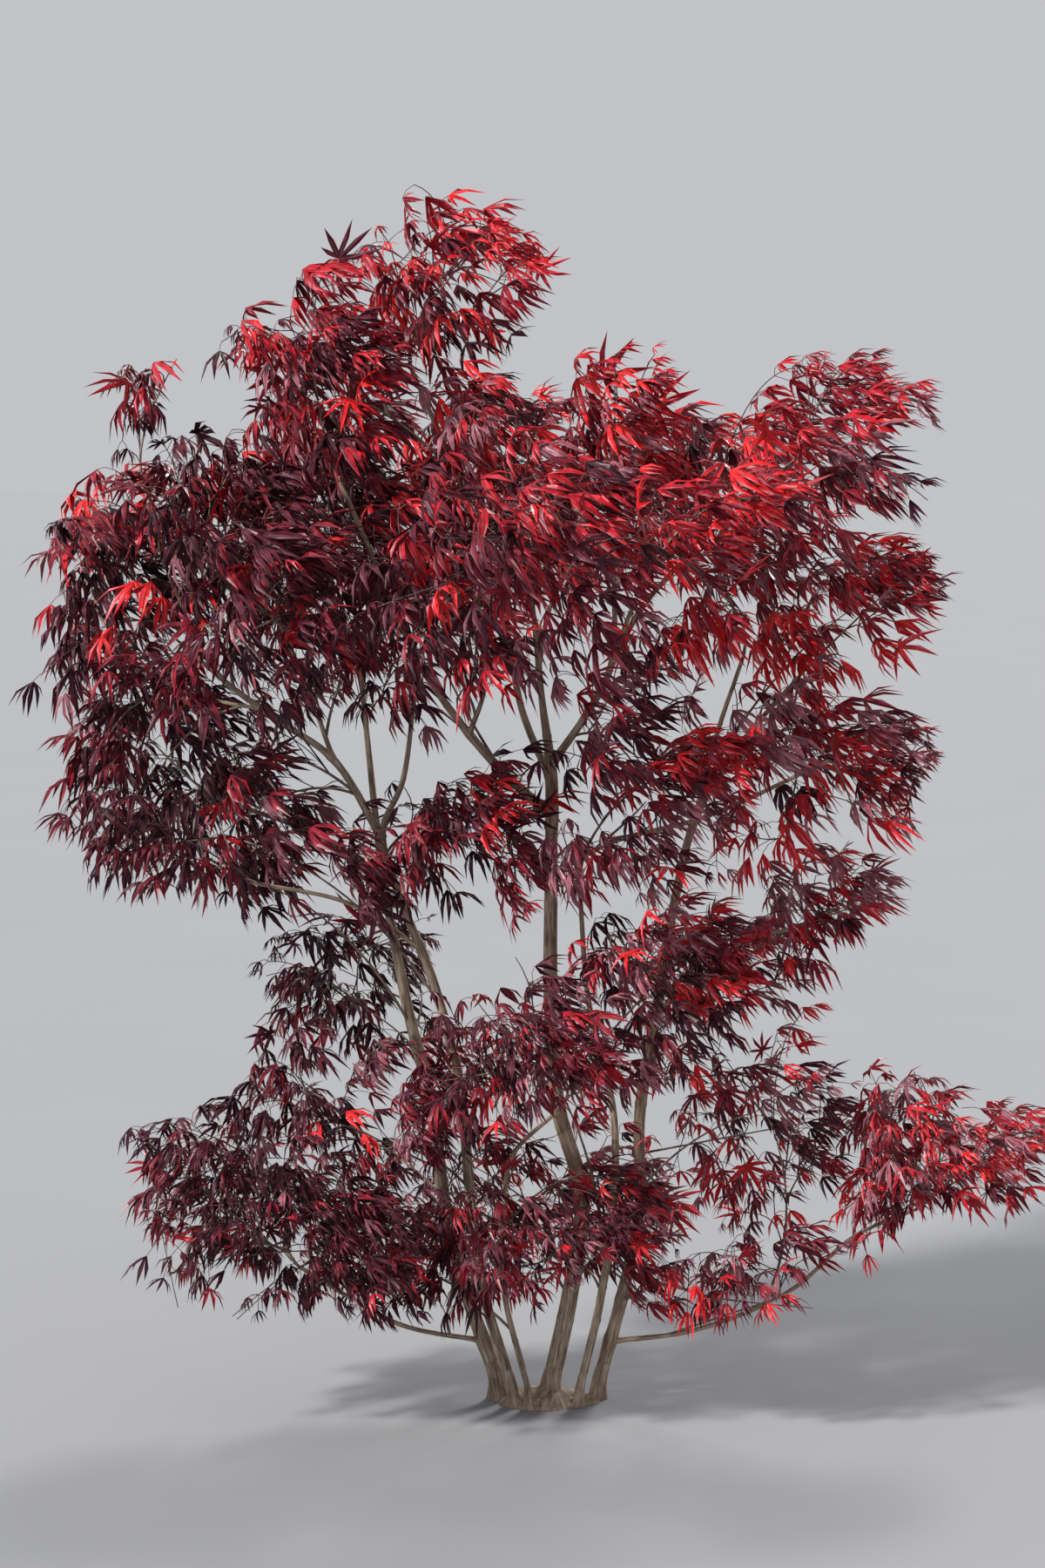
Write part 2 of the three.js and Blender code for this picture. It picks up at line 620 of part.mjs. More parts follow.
const limbs = {};
for (const [name, stem] of Object.entries(STEMS)) limbs[name] = makeLimb(stem, STEM_SIDES, STEM_STEP);
const rootFlare = makeRootFlare(Object.values(limbs));
for (const [name, bough] of Object.entries(BOUGHS)) limbs[name] = makeLimb(bough, BOUGH_SIDES, BOUGH_STEP);
const limbGuard = wasm.Manifold.union(Object.values(limbs).map((limb) => limb.fatter(CLEAR_OF_LIMB)));

const spaces = Object.entries(MASSES).map(([name, { on, at, centre, reach, seed }], index) => {
  return { name, limb: limbs[on], at, middle: vector(centre), reach, seed: SEED + (seed ?? index) };
});
const bulk = ({ reach }) => Math.cbrt(reach[0] * reach[1] * reach[2]) ** 2;
const allBulk = spaces.reduce((sum, space) => sum + bulk(space), 0);
for (const space of spaces) {
  space.walls = wallsOf(space, spaces);
  space.leaves = (LEAF_TOTAL * bulk(space)) / allBulk;
  space.leafLength = LEAF_LENGTH * THREE.MathUtils.clamp(Math.sqrt(bulk(space)) / FULL_REACH, SHORTEST_LEAF, 1);
}

const maple = new THREE.Group();
maple.add(named("root_flare", rootFlare, BARK, 0.85));
for (const [name, limb] of Object.entries(limbs)) maple.add(named(name, limb.solid, BARK, 0.8));
spaces.forEach((space, index) => {
  const solid = makeMass(space);
  maple.add(named(space.name, solid, LEAF_COLOURS[index % LEAF_COLOURS.length], 0.6));
});

export default maple;
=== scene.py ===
"""A young Japanese maple grown as a clump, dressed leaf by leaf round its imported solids.

Metres, +Z up, origin on the ground under the foot. Tables of limbs and masses are in millimetres.
"""

import json
import math
from types import SimpleNamespace

import bmesh
import bpy
import numpy as np
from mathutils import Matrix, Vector
from numpy.linalg import norm

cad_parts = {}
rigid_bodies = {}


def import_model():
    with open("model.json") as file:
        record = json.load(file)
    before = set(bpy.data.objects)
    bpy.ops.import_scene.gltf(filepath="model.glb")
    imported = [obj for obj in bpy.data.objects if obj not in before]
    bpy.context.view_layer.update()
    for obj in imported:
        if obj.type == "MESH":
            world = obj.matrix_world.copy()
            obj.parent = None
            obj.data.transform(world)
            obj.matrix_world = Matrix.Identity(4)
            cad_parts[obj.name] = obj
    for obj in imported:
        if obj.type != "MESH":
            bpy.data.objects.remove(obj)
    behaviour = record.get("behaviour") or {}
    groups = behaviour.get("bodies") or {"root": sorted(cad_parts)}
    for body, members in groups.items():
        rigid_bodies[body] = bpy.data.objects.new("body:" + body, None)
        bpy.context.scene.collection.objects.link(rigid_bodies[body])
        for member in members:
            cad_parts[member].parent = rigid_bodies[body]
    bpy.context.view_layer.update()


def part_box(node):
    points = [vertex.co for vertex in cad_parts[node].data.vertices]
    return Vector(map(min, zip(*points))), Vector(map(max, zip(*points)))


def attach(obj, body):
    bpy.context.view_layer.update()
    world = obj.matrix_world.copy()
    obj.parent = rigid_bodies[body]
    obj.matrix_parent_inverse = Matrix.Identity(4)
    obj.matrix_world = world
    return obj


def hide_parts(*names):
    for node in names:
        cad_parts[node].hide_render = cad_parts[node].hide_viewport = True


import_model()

MM = 0.001
UP = np.array([0.0, 0.0, 1.0])
PHASES = (0, 6.28)
SEED = 4117

# Limbs: the limb each leaves and at what share of its length, the points it runs through, its girths
STEMS = {
    "stem_centre": (
        [(17, -1, 60), (40, -10, 175), (60, -15, 340), (20, -5, 495), (10, 5, 655), (10, 5, 855),
         (10, 0, 1025), (-5, -15, 1150), (-20, -40, 1305)],
        (29, 26.5, 25, 24, 23, 21, 19, 10.5, 7)),
    "stem_left_outer": (
        [(-87, 25, 60), (-130, 30, 185), (-160, 30, 310), (-185, 35, 490), (-220, 45, 635),
         (-260, 55, 850), (-285, 80, 1060), (-305, 130, 1250)],
        (24, 21.5, 20.5, 19, 16, 12, 9, 7)),
    "stem_left_inner": (
        [(-61, -20, 60), (-95, -20, 175), (-120, -20, 350), (-135, -20, 520), (-180, -30, 700),
         (-230, -35, 830), (-258, -40, 935), (-225, -60, 1020), (-205, -95, 1155)],
        (17, 15.5, 16.5, 16, 15, 13, 9, 7)),
    "stem_right_slim": (
        [(64, -31, 60), (90, -40, 180), (110, -50, 335), (110, -55, 485), (70, -60, 665), (55, -75, 850)],
        (14, 12.5, 12, 10.5, 8.5, 7)),
    "stem_right": (
        [(98, 26, 60), (125, 30, 160), (155, 40, 305), (155, 45, 465), (180, 55, 620),
         (215, 70, 830), (245, 80, 945), (310, 90, 1055), (395, 100, 1155)],
        (22, 19.5, 18.5, 19, 17, 15, 13, 9.5, 7)),
    "stem_front": (
        [(-33, -50, 60), (-65, -75, 205), (-65, -95, 350), (-50, -105, 430), (20, -130, 505)],
        (11, 9, 8, 7, 6.5)),
}
BOUGHS = {
    "bough_left_high": ("stem_centre", 0.725, [(-30, -10, 995), (-110, -30, 1080), (-190, -55, 1195),
        (-270, -70, 1375), (-325, -65, 1500)], (17, 13.5, 10.5, 8.5, 7)),
    "bough_centre_left": ("bough_left_high", 0.29, [(-95, -90, 1170), (-100, -170, 1275)], (8.5, 7, 6)),
    "bough_leader": ("stem_centre", 0.765, [(-35, 40, 1120), (-60, 70, 1240), (-110, 60, 1425),
        (-210, 10, 1665)], (12.5, 10, 8.5, 7)),
    "bough_right_high": ("stem_centre", 0.785, [(65, -15, 1120), (105, -20, 1200), (110, 10, 1370)],
        (13, 11.5, 9, 7)),
    "bough_right_high_outer": ("bough_right_high", 0.43, [(150, -40, 1290), (265, -50, 1415)], (8, 7, 6)),
    "bough_right_inner": ("stem_right", 0.77, [(275, 20, 1085), (310, -60, 1210)], (9, 8, 6.5)),
    "bough_long_right": ("stem_centre", 0.645, [(105, -40, 920), (255, -70, 965), (445, -90, 1055)],
        (9, 7.5, 6)),
    "bough_lower_right": ("stem_right", 0.5, [(295, 30, 735), (415, 25, 780)], (7, 6, 5.5)),
    "bough_low_far_right": ("stem_right", 0.03, [(245, -20, 125), (395, -60, 200), (495, -70, 290),
        (590, -60, 330)], (8.5, 7.5, 6.5, 5.5)),
    "bough_low_right": ("stem_right", 0.09, [(190, -25, 200), (245, -85, 200)], (6.5, 6, 5.5)),
    "bough_left_long": ("stem_left_inner", 0.785, [(-335, -60, 1055), (-430, -80, 1125),
        (-525, -80, 1205), (-550, -70, 1305)], (12.5, 11, 9, 7)),
    "bough_left_rise": ("bough_left_long", 0.3, [(-370, -120, 1170), (-405, -190, 1270)], (8.5, 7, 6)),
    "bough_left_arm": ("bough_left_long", 0.58, [(-530, -50, 1150), (-630, -20, 1185)], (6.5, 6, 5.5)),
    "bough_left_shoot": ("bough_left_long", 0.78, [(-600, -10, 1355), (-640, 20, 1500)], (6.5, 6, 5.5)),
    "bough_left_lower": ("stem_left_outer", 0.66, [(-355, 60, 915), (-515, 60, 975)], (11, 9, 7)),
    "bough_left_low": ("stem_left_inner", 0.62, [(-310, -60, 825), (-460, -110, 865)], (8.5, 7, 6)),
    "bough_low_left": ("stem_left_outer", 0.03, [(-230, -30, 135), (-320, -70, 195), (-390, -90, 245)],
        (8.5, 7.5, 6.5)),
    "bough_back_centre": ("bough_leader", 0.33, [(-80, 200, 1335), (-95, 330, 1400)], (8, 7, 6)),
    "bough_back_right": ("bough_right_high", 0.56, [(170, 150, 1335), (240, 290, 1385)], (8, 7, 6)),
    "bough_front_centre": ("stem_centre", 0.91, [(5, -170, 1295), (35, -310, 1370)], (7.5, 7, 6)),
}

# Masses of leaves: the limb that carries each, where on it (1 is its tip), the middle, the reach
# and how full of twigs it is
MASSES = {
    "leaves_top": ("bough_leader", 1, (-140, -10, 1795), (165, 155, 158), 0.55),
    "leaves_upper_left": ("bough_left_high", 1, (-352, -60, 1630), (182, 190, 155), 0.78),
    "leaves_top_shoot_left": ("bough_left_shoot", 1, (-600, 20, 1630), (100, 100, 128), 0.7),
    "leaves_left_upper": ("bough_left_long", 1, (-505, -60, 1460), (165, 190, 140), 0.9),
    "leaves_far_left": ("bough_left_arm", 1, (-702, -10, 1312), (114, 170, 188), 0.85),
    "leaves_left_middle": ("bough_left_rise", 1, (-430, -260, 1290), (185, 185, 150), 0.8),
    "leaves_left_lobe": ("bough_left_lower", 1, (-605, 40, 1060), (198, 215, 160), 1.0),
    "leaves_left_lower": ("bough_left_low", 1, (-480, -120, 905), (245, 185, 100), 0.95),
    "leaves_left_low": ("stem_left_outer", 0.5, (-280, 130, 665), (180, 250, 130), 0.5),
    "leaves_back_left": ("stem_left_outer", 1, (-350, 330, 1385), (240, 220, 200), 0.65),
    "leaves_centre_middle": ("bough_centre_left", 1, (-105, -330, 1340), (170, 165, 165), 0.42),
    "leaves_centre_left": ("stem_left_inner", 1, (-210, -130, 1268), (140, 130, 185), 0.85),
    "leaves_centre_upper": ("stem_centre", 1, (-70, -110, 1530), (160, 155, 160), 0.75),
    "leaves_back_centre": ("bough_back_centre", 1, (-70, 430, 1470), (190, 180, 190), 0.6),
    "leaves_front_centre": ("bough_front_centre", 1, (30, -430, 1365), (175, 170, 170), 0.42),
    "leaves_right_centre": ("bough_right_high", 1, (110, 0, 1585), (130, 170, 168), 0.65),
    "leaves_back_right": ("bough_back_right", 1, (290, 390, 1470), (210, 200, 190), 0.6),
    "leaves_right_upper": ("bough_right_high_outer", 1, (415, -60, 1540), (225, 195, 155), 0.58),
    "leaves_right_middle": ("bough_right_inner", 1, (230, -250, 1330), (165, 190, 175), 0.42),
    "leaves_right_outer": ("stem_right", 1, (500, 80, 1262), (175, 200, 150), 0.58),
    "leaves_right_lower": ("bough_long_right", 1, (460, -90, 1025), (175, 200, 138), 0.65),
    "leaves_inner_right": ("stem_right_slim", 1, (145, -200, 1005), (160, 165, 200), 0.55),
    "leaves_right_low": ("bough_lower_right", 1, (472, 20, 800), (188, 165, 100), 0.42),
    "leaves_right_inner_low": ("stem_right_slim", 0.68, (182, -150, 722), (150, 150, 102), 0.75),
    "leaves_back_low_right": ("stem_right", 0.47, (330, 300, 655), (150, 190, 115), 0.5),
    "leaves_centre_lower": ("stem_centre", 0.66, (-100, -135, 925), (130, 130, 122), 0.8),
    "leaves_front_low": ("stem_front", 1, (0, -240, 592), (190, 155, 108), 0.9),
    "leaves_right_low_middle": ("stem_right", 0.3, (345, -40, 455), (200, 190, 158), 0.3),
    "leaves_far_low_right": ("bough_low_far_right", 1, (655, -50, 395), (205, 165, 112), 0.8),
    "leaves_low_right": ("bough_low_right", 1, (370, -150, 200), (125, 145, 100), 0.45),
    "leaves_low_centre": ("stem_centre", 0.09, (0, -20, 262), (240, 260, 130), 1.15),
    "leaves_low_left": ("bough_low_left", 1, (-410, -100, 305), (285, 200, 135), 1.15),
    "leaves_low_left_upper": ("stem_left_outer", 0.27, (-335, -20, 470), (228, 195, 112), 0.42),
}

# Root flare
FLARE_TOP = 0.060
FOOT_FLARE = 1.75  # share of its stem's girth at a foot's end
FOOT_MIDDLE_FLARE = 1.25
FOOT_GATHER = 0.86  # how far the feet draw in there
FOOT_END = -0.02
FOOT_RINGS, FOOT_SIDES = 24, 20
MOUND_HALF = (0.0995, 0.0592, 0.056)
MOUND_SUNK = 0.030
MOUND_RINGS, MOUND_SIDES = 18, 40
SKIN_VOXEL = 0.0022
SKIN_SMOOTHING = 14

# Bark
BARK_STEP = 0.0045
STEM_SIDES = 22
BOUGH_SIDES = 14
COLLAR = 0.42  # where a limb leaves its parent
COLLAR_REACH = 1.5  # times the limb's radius
SWELLING = 0.13  # where others leave it
SWELLING_REACH = 3.2  # times their radius
RIDGES = ((2, 0.035), (3, 0.03), (5, 0.022), (8, 0.016), (11, 0.010))  # waves round a limb, depth
JOINT_RING_SPACING = (0.06, 0.14)
JOINT_RING_WIDTH = 0.0028
KNOT_SPACING = 0.10
BARK_STREAKS = [(0.28, (0.085, 0.064, 0.048)), (0.46, (0.31, 0.245, 0.190)),
                (0.60, (0.50, 0.415, 0.330)), (0.78, (0.76, 0.66, 0.56))]
BARK_PATCHES = [(0.3, (0.62, 0.57, 0.50)), (0.5, (0.96, 0.92, 0.87)), (0.68, (1.30, 1.27, 1.22))]

# Twigs
TWIGS_TOTAL = 1090
SHOOTS_TOTAL = 430
STEM_ROOT = 0.0026  # of a mass's stem that leaves its limb below the tip
SIDE_BRANCHES = 7  # most that other limbs send into a mass
BRANCH_ROOT = 0.0030
BRANCH_TIP = 0.0011
TWIG_SIDES = 3
TWIG_TIP = 0.00085
TWIG_GROWTH = 0.46  # power of the number of twigs that one carries
TWIG_PLACES = (0.4, 0.7, 1.0)  # where along a twig the next ones may leave it
TWIG_REACH = 0.045  # from a twig's tip to the place its leaves fill
WOODY_RADIUS = 0.0018  # thicker twigs have brown bark
SHORTEST_TWIG = 0.022
EVEN_SPREAD = 1.2207440846  # steps of its negative powers fill a box
SHOOT_LENGTHS = (0.07, 0.24)
SHOOT_LENGTH = 0.13  # the length that shoots prefer
SHOOT_LEAN = np.array([0.35, 0, 0.5])
FEWEST_LEAVES = 2  # on a twig that carries no others

# Spaces
OVERHANG = 1.14  # share of its mass's reach that a leaf may go to
GAP_REACH = 1.6  # likewise in a gap between masses
GAP_SHARE = 0.62  # share of the places still taken there
BOX_PER_ELLIPSOID = 1.91  # their volumes
# Spans across and up where such gaps stay open
OPEN_GAPS = (((0.5, 1.0), (0.55, 2.0)), ((0.0, 0.5), (1.52, 2.0)), ((-1.0, -0.46), (1.52, 2.0)))
RIM = 0.92  # mean share of the reach at which twigs stop elsewhere
RIM_MOST = 1.02
RIM_WAVES = (5.3, 4.1, 6.2)
RIM_DEPTH = 0.10
THIN_FROM = 0.5  # share of the rim from which twigs thin out
THIN_TO = 0.2  # share of the places taken at the rim
WALL_SLACK = 0.014
BOX_SLACK = 0.004  # past the box of the mass's solid
CROWN_SLACK = 0.030  # of a lobe's tip past the whole crown's box
GROUND_CLEAR = 0.006
LIMB_CLEAR = 0.028  # from the middle of a leaf to the bark

# Leaves
LEAF_LENGTH = 0.064
LEAF_SPREAD = 0.22
LEAF_HEIGHTS = (0.4, 1.3)
LEAF_GROWTH = (0.93, 1.24)  # at those heights
STALK_LENGTHS = (0.022, 0.042)
STALK_RADIUS = 0.0006
PAIR_SPACING = 0.043
TWIG_PAIRS = (0.86, 1.0, 1.0, 1.0)  # growth of each pair of leaves back from the tip
SHOOT_PAIRS = (0.45, 0.62, 0.8, 0.95, 1.0, 1.0)
# Degrees round the leaf and length of each lobe
LOBES = ((0, 1.0), (36, 0.95), (-36, 0.95), (73, 0.78), (-73, 0.78), (115, 0.46), (-115, 0.46))
LOBE_PLACES = (0.0, 0.24, 0.52, 1.0)  # of the points along its vein
LEAF_TILTS = (44, 84)  # degrees off the way it hangs, when closed and when open
LEAF_BENDS = (56, 24)
DROOPING_KINDS = 48
OPEN_KINDS = 8
OPEN_SHARE = 0.07
ODD_SHARE = 0.22  # of leaves that have another tint than their spray
SWEEP = np.array([0.62, -0.05, -0.66])  # the pull of weight and wind on leaves
OUTWARD = 0.34
JITTER = 0.5

# Colour of each tint and its share in the shade and in the sun, for drooping and for open leaves. The tints
# paint light and shade: dark ones in the shaded crown, crimson and scarlet as painted sunlit and backlit
# glow, mauve as painted sheen
TINTS = {
    "dusk": ((0.030, 0.007, 0.013), (0.38, 0.02), (0.1, 0.0)),
    "plum": ((0.070, 0.013, 0.026), (0.36, 0.09), (0.3, 0.0)),
    "maroon": ((0.125, 0.011, 0.021), (0.17, 0.16), (0.3, 0.05)),
    "wine": ((0.215, 0.012, 0.024), (0.05, 0.23), (0.2, 0.15)),
    "crimson": ((0.40, 0.014, 0.025), (0.01, 0.25), (0.1, 0.35)),
    "scarlet": ((0.66, 0.017, 0.020), (0.0, 0.16), (0.0, 0.45)),
    "mauve": ((0.27, 0.105, 0.135), (0.03, 0.09), (0.0, 0.0)),
}
BRIGHT_REDS = slice(4, 6)  # crimson and scarlet, painted sunlit and backlit glow
SHEEN_TINT = 6  # mauve, painted sheen
PAINTED_SHEEN = np.array([0.30, 0.155, 0.195])  # painted sheen, added on one half of each lobe
PAINTED_GLOW = np.array([1.9, 0.9, 0.9])  # painted backlit glow, times the other half

# Material, dark and light colour and roughness of the twigs
TWIG_SKINS = {
    "twigs_woody": ("woody_twig", (0.10, 0.070, 0.055), (0.33, 0.255, 0.200), 0.7),
    "twigs_young": ("young_twig", (0.030, 0.012, 0.015), (0.095, 0.040, 0.038), 0.5),
    "leaf_stalks": ("leaf_stalk", (0.10, 0.018, 0.022), (0.26, 0.05, 0.05), 0.45),
}

# Stage: each light's place, spread in degrees, power and colour
LIGHTS = {
    "key": ((-3.8, -2.4, 4.8), 6, 4.05, (1.0, 0.96, 0.90)),
    "rim": ((1.6, 3.4, 3.6), 12, 1.8, (1.0, 0.97, 0.94)),
}
CROWN_MIDDLE = (0, 0, 1.0)
SKY_COLOUR = (0.95, 0.96, 1.0, 1)
SKY_STRENGTH = 0.57
FLOOR_HALF = 60.0
FLOOR_TONES = [(0.3, (0.267, 0.277, 0.297)), (0.7, (0.274, 0.284, 0.304))]
CAMERA_PLACE = (-0.0354, -5.880, 1.617)
CAMERA_PITCH = 5.9  # degrees down
CAMERA_LENS = 85


def unit(v):
    return v / np.maximum(norm(v, axis=-1, keepdims=True), 1e-12)


# Paths and limbs

def centripetal(points):
    """A dense centripetal curve through the points."""
    p = np.asarray(points, float)
    p = np.vstack([2 * p[0] - p[1], p, 2 * p[-1] - p[-2]])
    share = np.linspace(0, 1, 40, endpoint=False)[:, None]
    out = []
    for a, b, c, d in zip(p, p[1:], p[2:], p[3:]):
        before, here, after = (max(norm(v), 1e-9) ** 0.5 for v in (b - a, c - b, d - c))
        start = ((b - a) / before - (c - a) / (before + here) + (c - b) / here) * here
        end = ((c - b) / here - (d - b) / (here + after) + (d - c) / after) * here
        out.append(b + start * share + (3 * (c - b) - 2 * start - end) * share ** 2
                   + (2 * (b - c) + start + end) * share ** 3)
    return np.vstack(out + [p[-2:-1]])


def bezier(a, b, c, count):
    t = np.linspace(0, 1, count)[:, None]
    return (1 - t) ** 2 * a + 2 * t * (1 - t) * b + t ** 2 * c


def evenly(path, count):
    """The path again as count evenly spaced points."""
    along = np.concatenate([[0], np.cumsum(norm(np.diff(path, axis=0), axis=1))])
    wanted = np.linspace(0, along[-1], count)
    return np.stack([np.interp(wanted, along, path[:, k]) for k in range(3)], axis=1)


def length_of(path):
    return norm(np.diff(path, axis=0), axis=1).sum()


def headings(path):
    return unit(np.gradient(path, axis=0))


def point_on(path, share):
    place = share * (len(path) - 1)
    low = min(int(place), len(path) - 2)
    return path[low] + (path[low + 1] - path[low]) * (place - low)


def radius_at(girths, share):
    """Radius at a share of a limb's length."""
    return np.interp(share, np.linspace(0, 1, len(girths)), girths) * MM / 2


def make_limb(through, girths, parent=None, at=0.0):
    points = np.array(through, float) * MM
    if parent is not None:
        points = np.vstack([point_on(parent.path, at), points])
    fine = centripetal(points)
    path = evenly(fine, max(8, int(length_of(fine) / BARK_STEP)))
    return SimpleNamespace(path=path, girths=girths, parent=parent, at=at, joints=[])


def make_limbs():
    limbs = {name: make_limb(through, girths) for name, (through, girths) in STEMS.items()}
    for name, (parent, at, through, girths) in BOUGHS.items():
        limbs[name] = make_limb(through, girths, limbs[parent], at)
        limbs[parent].joints.append((at, girths[0] * MM / 2))
    return limbs


# Tubes and meshes

def turns_of(sides):
    return np.arange(sides) * 2 * math.pi / sides


def frames_along(path):
    """Two ways square to a path at each of its points, which turn as little as may be."""
    ahead = headings(path)
    side = np.zeros_like(path)
    now = np.array([0.0, 1.0, 0.2])
    if abs(now @ ahead[0]) > 0.9:
        now = np.array([1.0, 0.0, 0.0])
    for i, way in enumerate(ahead):
        now = unit(now - way * (now @ way))
        side[i] = now
    return side, np.cross(ahead, side)


def tube_points(path, radii, turns):
    """Rings of points round a path, with a row of radii for each ring."""
    side, across = frames_along(path)
    round_it = (np.cos(turns)[None, :, None] * side[:, None, :]
                + np.sin(turns)[None, :, None] * across[:, None, :])
    return (path[:, None, :] + radii[:, :, None] * round_it).reshape(-1, 3)


def tube_faces(rings, sides, close_start=True):
    """Faces between rings of points, over the last ring and, if asked, over the first."""
    ring = np.arange(rings - 1)[:, None] * sides
    k = np.arange(sides)[None, :]
    a, b = ring + k, ring + (k + 1) % sides
    faces = [np.stack([a, b, b + sides], -1).reshape(-1, 3),
             np.stack([a, b + sides, a + sides], -1).reshape(-1, 3)]
    fan = np.arange(1, sides - 1)
    if close_start:
        faces.append(np.stack([0 * fan, fan + 1, fan], -1))
    top = (rings - 1) * sides
    faces.append(np.stack([0 * fan + top, fan + top, fan + top + 1], -1))
    return np.vstack(faces)


def thin_tube(path, root, tip):
    radii = np.linspace(root, tip, len(path))[:, None]
    return tube_points(path, radii, turns_of(TWIG_SIDES)), tube_faces(len(path), TWIG_SIDES, False)


class Collector:
    """Gathers surfaces, with a vector for each point and the nodes that they replace."""

    def __init__(self):
        self.points, self.faces, self.vectors = [], [], []
        self.count = 0
        self.nodes = set()

    def add(self, points, faces, vectors=None, node=None):
        self.points.append(points)
        self.faces.append(faces + self.count)
        self.vectors.append(np.zeros((len(points), 3)) if vectors is None else vectors)
        self.count += len(points)
        self.nodes.add(node)

    def merged(self):
        return np.vstack(self.points), np.vstack(self.faces), np.vstack(self.vectors)


def add_object(name, data):
    thing = bpy.data.objects.new(name, data)
    bpy.context.scene.collection.objects.link(thing)
    return thing


def mesh_object(name, points, faces, material, smooth):
    mesh = bpy.data.meshes.new(name)
    mesh.vertices.add(len(points))
    mesh.vertices.foreach_set("co", np.ascontiguousarray(points, np.float32).ravel())
    mesh.loops.add(3 * len(faces))
    mesh.loops.foreach_set("vertex_index", np.ascontiguousarray(faces, np.int32).ravel())
    mesh.polygons.add(len(faces))
    mesh.polygons.foreach_set("loop_start", np.arange(0, 3 * len(faces), 3, dtype=np.int32))
    mesh.polygons.foreach_set("use_smooth", np.full(len(faces), smooth))
    mesh.update(calc_edges=True)
    mesh.materials.append(material)
    return add_object(name, mesh)


def set_vectors(thing, attribute, vectors):
    layer = thing.data.attributes.new(attribute, "FLOAT_VECTOR", "POINT")
    layer.data.foreach_set("vector", vectors.astype(np.float32).ravel())


def keep(piece, nodes):
    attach(piece, "root")
    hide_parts(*nodes)


def make_piece(name, nodes, gathered, material, attribute=None, smooth=True):
    points, faces, vectors = gathered.merged()
    piece = mesh_object(name, points, faces, material, smooth)
    if attribute:
        set_vectors(piece, attribute, vectors)
    keep(piece, nodes)


# Bark surfaces

def add_ridges(relief, s, t, rng):
    """Lengthwise ridges that wander round the limb and fade in and out."""
    for waves, depth in RIDGES:
        wander = 0.9 * np.sin(s * rng.uniform(6, 16) + rng.uniform(*PHASES))
        wander = wander + s * rng.uniform(-4, 4)
        fade = 0.6 + 0.4 * np.sin(s * rng.uniform(15, 45) + rng.uniform(*PHASES))
        relief += depth * fade * np.sin(waves * t + wander + rng.uniform(*PHASES))


def add_joint_rings(relief, s, t, rng):
    """Rings where leaves once stood."""
    place = rng.uniform(0.03, 0.09)
    while place < s[-1, 0]:
        ring = np.exp(-((s - place) / JOINT_RING_WIDTH) ** 2)
        relief += rng.uniform(0.06, 0.13) * ring * (0.75 + 0.25 * np.sin(2 * t + rng.uniform(*PHASES)))
        place += rng.uniform(*JOINT_RING_SPACING)


def add_knots(relief, s, t, radius, rng):
    for _ in range(int(s[-1, 0] / KNOT_SPACING)):
        centre = rng.uniform(0.02, s[-1, 0])
        turn = rng.uniform(0, 2 * math.pi)
        width = rng.uniform(0.003, 0.0055)
        round_off = np.angle(np.exp(1j * (t - turn))) * radius
        relief += rng.uniform(0.14, 0.32) * np.exp(-((s - centre) ** 2 + round_off ** 2) / width ** 2)


def bark_relief(along, turns, radius, rng):
    """How far the bark stands out along and round a limb, as shares of its radius."""
    s, t = along[:, None], turns[None, :]
    relief = np.zeros((len(along), len(turns)))
    add_ridges(relief, s, t, rng)
    add_joint_rings(relief, s, t, rng)
    add_knots(relief, s, t, radius, rng)
    return relief


def limb_radii(limb, along):
    """Radii along a limb, with a collar at its parent and a swelling at each joint."""
    radii = radius_at(limb.girths, along / along[-1])
    if limb.parent is not None:
        inside = radius_at(limb.parent.girths, limb.at)
        radii = radii * (1 + COLLAR * np.exp(-np.maximum(along - inside, 0) / (COLLAR_REACH * radii[0])))
    for at, child in limb.joints:
        reach = SWELLING_REACH * child
        radii = radii * (1 + SWELLING * np.exp(-((along - at * along[-1]) / reach) ** 2))
    return radii


def bark_tube(limb, sides, rng):
    """Points, faces and grain of one limb's bark. The grain runs round and along it."""
    path = limb.path
    along = np.linspace(0, length_of(path), len(path))
    radii = limb_radii(limb, along)
    mean = radii.mean()
    turns = turns_of(sides)
    spread = radii[:, None] * (1 + bark_relief(along, turns, mean, rng))
    grain = (np.cos(turns) * mean, np.sin(turns) * mean, along[:, None] + rng.uniform(0, 9))
    grain = np.stack([np.broadcast_to(part, spread.shape) for part in grain], axis=-1)
    return tube_points(path, spread, turns), tube_faces(len(path), sides), grain.reshape(-1, 3)


# Root flare

def stem_foot(limb, rng):
    """A flared foot with flutes, from below the ground up to a stem's start."""
    lean = unit(limb.path[1] - limb.path[0])
    top = limb.path[0] + lean * 0.004
    middle = limb.path[0] - lean * FLARE_TOP / 2
    bottom = np.array([top[0] * FOOT_GATHER, top[1] * FOOT_GATHER, FOOT_END])
    path = evenly(centripetal([bottom, middle, top]), FOOT_RINGS)
    share = np.linspace(0, 1, FOOT_RINGS)
    flare = np.interp(share, (0, 0.5, 0.92, 1), (FOOT_FLARE, FOOT_MIDDLE_FLARE, 1.0, 1.0))
    radii = radius_at(limb.girths, 0) * flare
    turns = turns_of(FOOT_SIDES)
    flutes = 1 + 0.10 * (1 - share[:, None]) * np.sin(3 * turns[None, :] + rng.uniform(*PHASES))
    return tube_points(path, radii[:, None] * flutes, turns), tube_faces(FOOT_RINGS, FOOT_SIDES)


